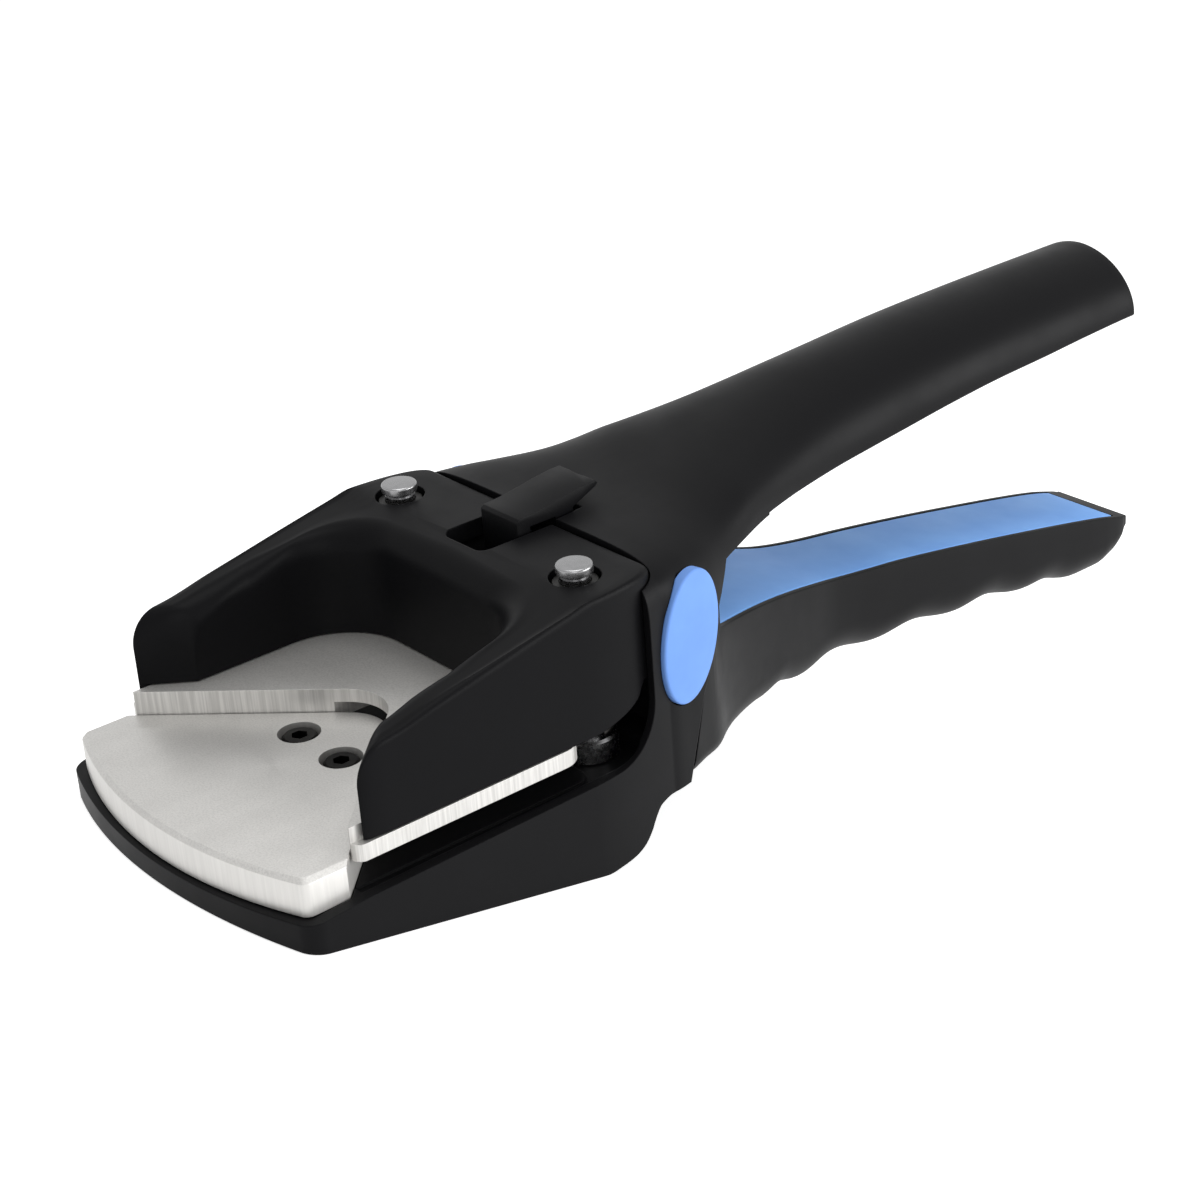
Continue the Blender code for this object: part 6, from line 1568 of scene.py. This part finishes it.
def add_world(strength):
    world = bpy.data.worlds.new("studio")
    world.use_nodes = True
    bpy.context.scene.world = world
    tree = world.node_tree
    tree.nodes.clear()
    out = add_node(tree, "ShaderNodeOutputWorld")
    light = add_node(tree, "ShaderNodeBackground")
    light.inputs["Color"].default_value = (1.0, 1.0, 1.0, 1.0)
    light.inputs["Strength"].default_value = strength
    white = add_node(tree, "ShaderNodeBackground")
    white.inputs["Color"].default_value = (1.0, 1.0, 1.0, 1.0)
    white.inputs["Strength"].default_value = 1.0
    mix = add_node(tree, "ShaderNodeMixShader")
    tree.links.new(background_share(tree), mix.inputs[0])
    tree.links.new(light.outputs[0], mix.inputs[1])
    tree.links.new(white.outputs[0], mix.inputs[2])
    tree.links.new(mix.outputs[0], out.inputs["Surface"])


def add_floor(size, glow):
    """A pale floor that shows white and keeps the tool's shadow."""
    mesh = bpy.data.meshes.new("floor")
    half = size / 2.0
    mesh.from_pydata([(-half, -half, 0.0), (half, -half, 0.0), (half, half, 0.0), (-half, half, 0.0)], [],
                     [(0, 1, 2, 3)])
    floor = bpy.data.objects.new("floor", mesh)
    bpy.context.scene.collection.objects.link(floor)
    floor.location = (0.0, 0.0, -0.0002)
    material = bpy.data.materials.new("pale_floor")
    material.use_nodes = True
    tree = material.node_tree
    tree.nodes.clear()
    out = add_node(tree, "ShaderNodeOutputMaterial")
    paint = add_node(tree, "ShaderNodeBsdfDiffuse")
    paint.inputs["Color"].default_value = (0.86, 0.86, 0.86, 1.0)
    light = add_node(tree, "ShaderNodeEmission")
    light.inputs["Color"].default_value = (1.0, 1.0, 1.0, 1.0)
    tree.links.new(math_node(tree, "MULTIPLY", background_share(tree), glow), light.inputs["Strength"])
    both = add_node(tree, "ShaderNodeAddShader")
    tree.links.new(paint.outputs[0], both.inputs[0])
    tree.links.new(light.outputs[0], both.inputs[1])
    tree.links.new(both.outputs[0], out.inputs["Surface"])
    mesh.materials.append(material)


def build_stage(stage):
    scene = bpy.context.scene
    scene.view_settings.view_transform = "Standard"
    add_camera()
    add_world(stage.ambient)
    add_floor(stage.floor_size, stage.floor_glow)
    aim = (0.0, 0.0, 0.04)
    add_lamp("overhead_box", (0.05, -0.20, 1.00), aim, 0.7, 0.7, stage.overhead_power)
    add_lamp("front_box", (0.80, -0.70, 0.40), aim, 0.5, 0.5, stage.front_power)
    add_lamp("side_box", (0.85, 0.55, 0.35), aim, 0.9, 0.5, stage.side_power)


# Settings

def colour_setting(name, description, default):
    return bpy.props.FloatVectorProperty(name=name, description=description, default=default, subtype="COLOR",
                                         size=3, min=0.0, max=1.0)


class RounderColours(bpy.types.PropertyGroup):
    """Colours of the corner rounder's finishes."""
    black: colour_setting("Black plastic", "Colour of the black mouldings", (0.0050, 0.0050, 0.0056))
    # The strip's blue is painted lighter and the caps' blue painted darker than the one blue plastic they
    # share, standing in for light and shade.
    blue: colour_setting("Blue strip", "Colour of the strip in the lever", (0.200, 0.440, 1.000))
    cap_blue: colour_setting("Blue caps", "Colour of the oval hinge caps", (0.155, 0.310, 0.720))
    steel: colour_setting("Blade steel", "Colour of the ground blade and anvil", (0.600, 0.590, 0.570))
    post: colour_setting("Post steel", "Colour of the turned guide posts", (0.300, 0.300, 0.305))
    black_steel: colour_setting("Black steel", "Colour of the blackened screws", (0.014, 0.0135, 0.013))


class RounderStage(bpy.types.PropertyGroup):
    """Lamps and floor round the corner rounder."""
    floor_size: bpy.props.FloatProperty(name="Floor size", description="Side of the square floor", default=6.0,
                                        min=1.0, max=20.0, unit="LENGTH")
    floor_glow: bpy.props.FloatProperty(name="Floor glow", description="White added where the floor is seen",
                                        default=0.66, min=0.0, max=1.0, subtype="FACTOR")
    ambient: bpy.props.FloatProperty(name="Ambient", description="Strength of the light from all round",
                                     default=0.40, min=0.0, max=1.0, subtype="FACTOR")
    overhead_power: bpy.props.FloatProperty(name="Overhead", description="Power of the lamp above", default=4.0,
                                            min=0.0, max=50.0, unit="POWER")
    front_power: bpy.props.FloatProperty(name="Front", description="Power of the lamp beside the camera",
                                         default=1.5, min=0.0, max=50.0, unit="POWER")
    side_power: bpy.props.FloatProperty(name="Side", description="Power of the lamp on the right, behind",
                                        default=10.0, min=0.0, max=50.0, unit="POWER")


# Operators

class ROUNDER_OT_body(bpy.types.Operator):
    """Build the fixed body with its tray, cheeks and upper handle"""
    bl_idname = "rounder.body"
    bl_label = "Body and handle"

    def execute(self, context):
        build_body(context.scene.rounder_colours)
        build_plug(context.scene.rounder_colours)
        return {"FINISHED"}


class ROUNDER_OT_blades(bpy.types.Operator):
    """Build the anvil and the notched blade"""
    bl_idname = "rounder.blades"
    bl_label = "Anvil and blade"

    def execute(self, context):
        build_anvil(context.scene.rounder_colours)
        build_cutter(context.scene.rounder_colours)
        return {"FINISHED"}


class ROUNDER_OT_head(bpy.types.Operator):
    """Build the housing of the cutting head"""
    bl_idname = "rounder.head"
    bl_label = "Cutting head"

    def execute(self, context):
        build_head(context.scene.rounder_colours)
        return {"FINISHED"}


class ROUNDER_OT_posts(bpy.types.Operator):
    """Build the guide posts and their return springs"""
    bl_idname = "rounder.posts"
    bl_label = "Posts and springs"

    def execute(self, context):
        build_posts(context.scene.rounder_colours)
        build_springs()
        return {"FINISHED"}


class ROUNDER_OT_caps(bpy.types.Operator):
    """Build the oval caps over the hinge"""
    bl_idname = "rounder.caps"
    bl_label = "Hinge caps"

    def execute(self, context):
        build_caps(context.scene.rounder_colours)
        return {"FINISHED"}


class ROUNDER_OT_latch(bpy.types.Operator):
    """Build the latch that locks the head"""
    bl_idname = "rounder.latch"
    bl_label = "Lock latch"

    def execute(self, context):
        build_latch(context.scene.rounder_colours)
        return {"FINISHED"}


class ROUNDER_OT_lever(bpy.types.Operator):
    """Build the squeezed lever and its blue strip"""
    bl_idname = "rounder.lever"
    bl_label = "Lever and strip"

    def execute(self, context):
        build_grip(context.scene.rounder_colours)
        build_inlay(context.scene.rounder_colours)
        return {"FINISHED"}


class ROUNDER_OT_hardware(bpy.types.Operator):
    """Give the screws, bushes, pins and drive pieces their finishes"""
    bl_idname = "rounder.hardware"
    bl_label = "Screws and drive"

    def execute(self, context):
        dress_fasteners(context.scene.rounder_colours)
        dress_drive()
        return {"FINISHED"}


class ROUNDER_OT_stage(bpy.types.Operator):
    """Set up the camera, the lamps and the floor"""
    bl_idname = "rounder.stage"
    bl_label = "Camera and lamps"

    def execute(self, context):
        build_stage(context.scene.rounder_stage)
        return {"FINISHED"}


class ROUNDER_PT_pieces(bpy.types.Panel):
    """Lists the pieces of the corner rounder"""
    bl_idname = "ROUNDER_PT_pieces"
    bl_label = "Corner rounder"
    bl_space_type = "VIEW_3D"
    bl_region_type = "UI"
    bl_category = "Rounder"

    def draw(self, context):
        column = self.layout.column()
        for operator in OPERATORS:
            column.operator(operator.bl_idname)
        for name in ("black", "blue", "cap_blue", "steel", "post", "black_steel"):
            column.prop(context.scene.rounder_colours, name)
        for name in ("floor_size", "floor_glow", "ambient", "overhead_power", "front_power", "side_power"):
            column.prop(context.scene.rounder_stage, name)


OPERATORS = (ROUNDER_OT_stage, ROUNDER_OT_body, ROUNDER_OT_blades, ROUNDER_OT_head, ROUNDER_OT_posts,
             ROUNDER_OT_caps, ROUNDER_OT_latch, ROUNDER_OT_lever, ROUNDER_OT_hardware)
CLASSES = (RounderColours, RounderStage) + OPERATORS + (ROUNDER_PT_pieces,)


def register():
    for cls in CLASSES:
        bpy.utils.register_class(cls)
    bpy.types.Scene.rounder_colours = bpy.props.PointerProperty(type=RounderColours)
    bpy.types.Scene.rounder_stage = bpy.props.PointerProperty(type=RounderStage)


def unregister():
    del bpy.types.Scene.rounder_stage
    del bpy.types.Scene.rounder_colours
    for cls in reversed(CLASSES):
        bpy.utils.unregister_class(cls)


def main():
    register()
    for operator in OPERATORS:
        getattr(bpy.ops.rounder, operator.bl_idname.split(".")[1])()


if __name__ == "__main__":
    main()
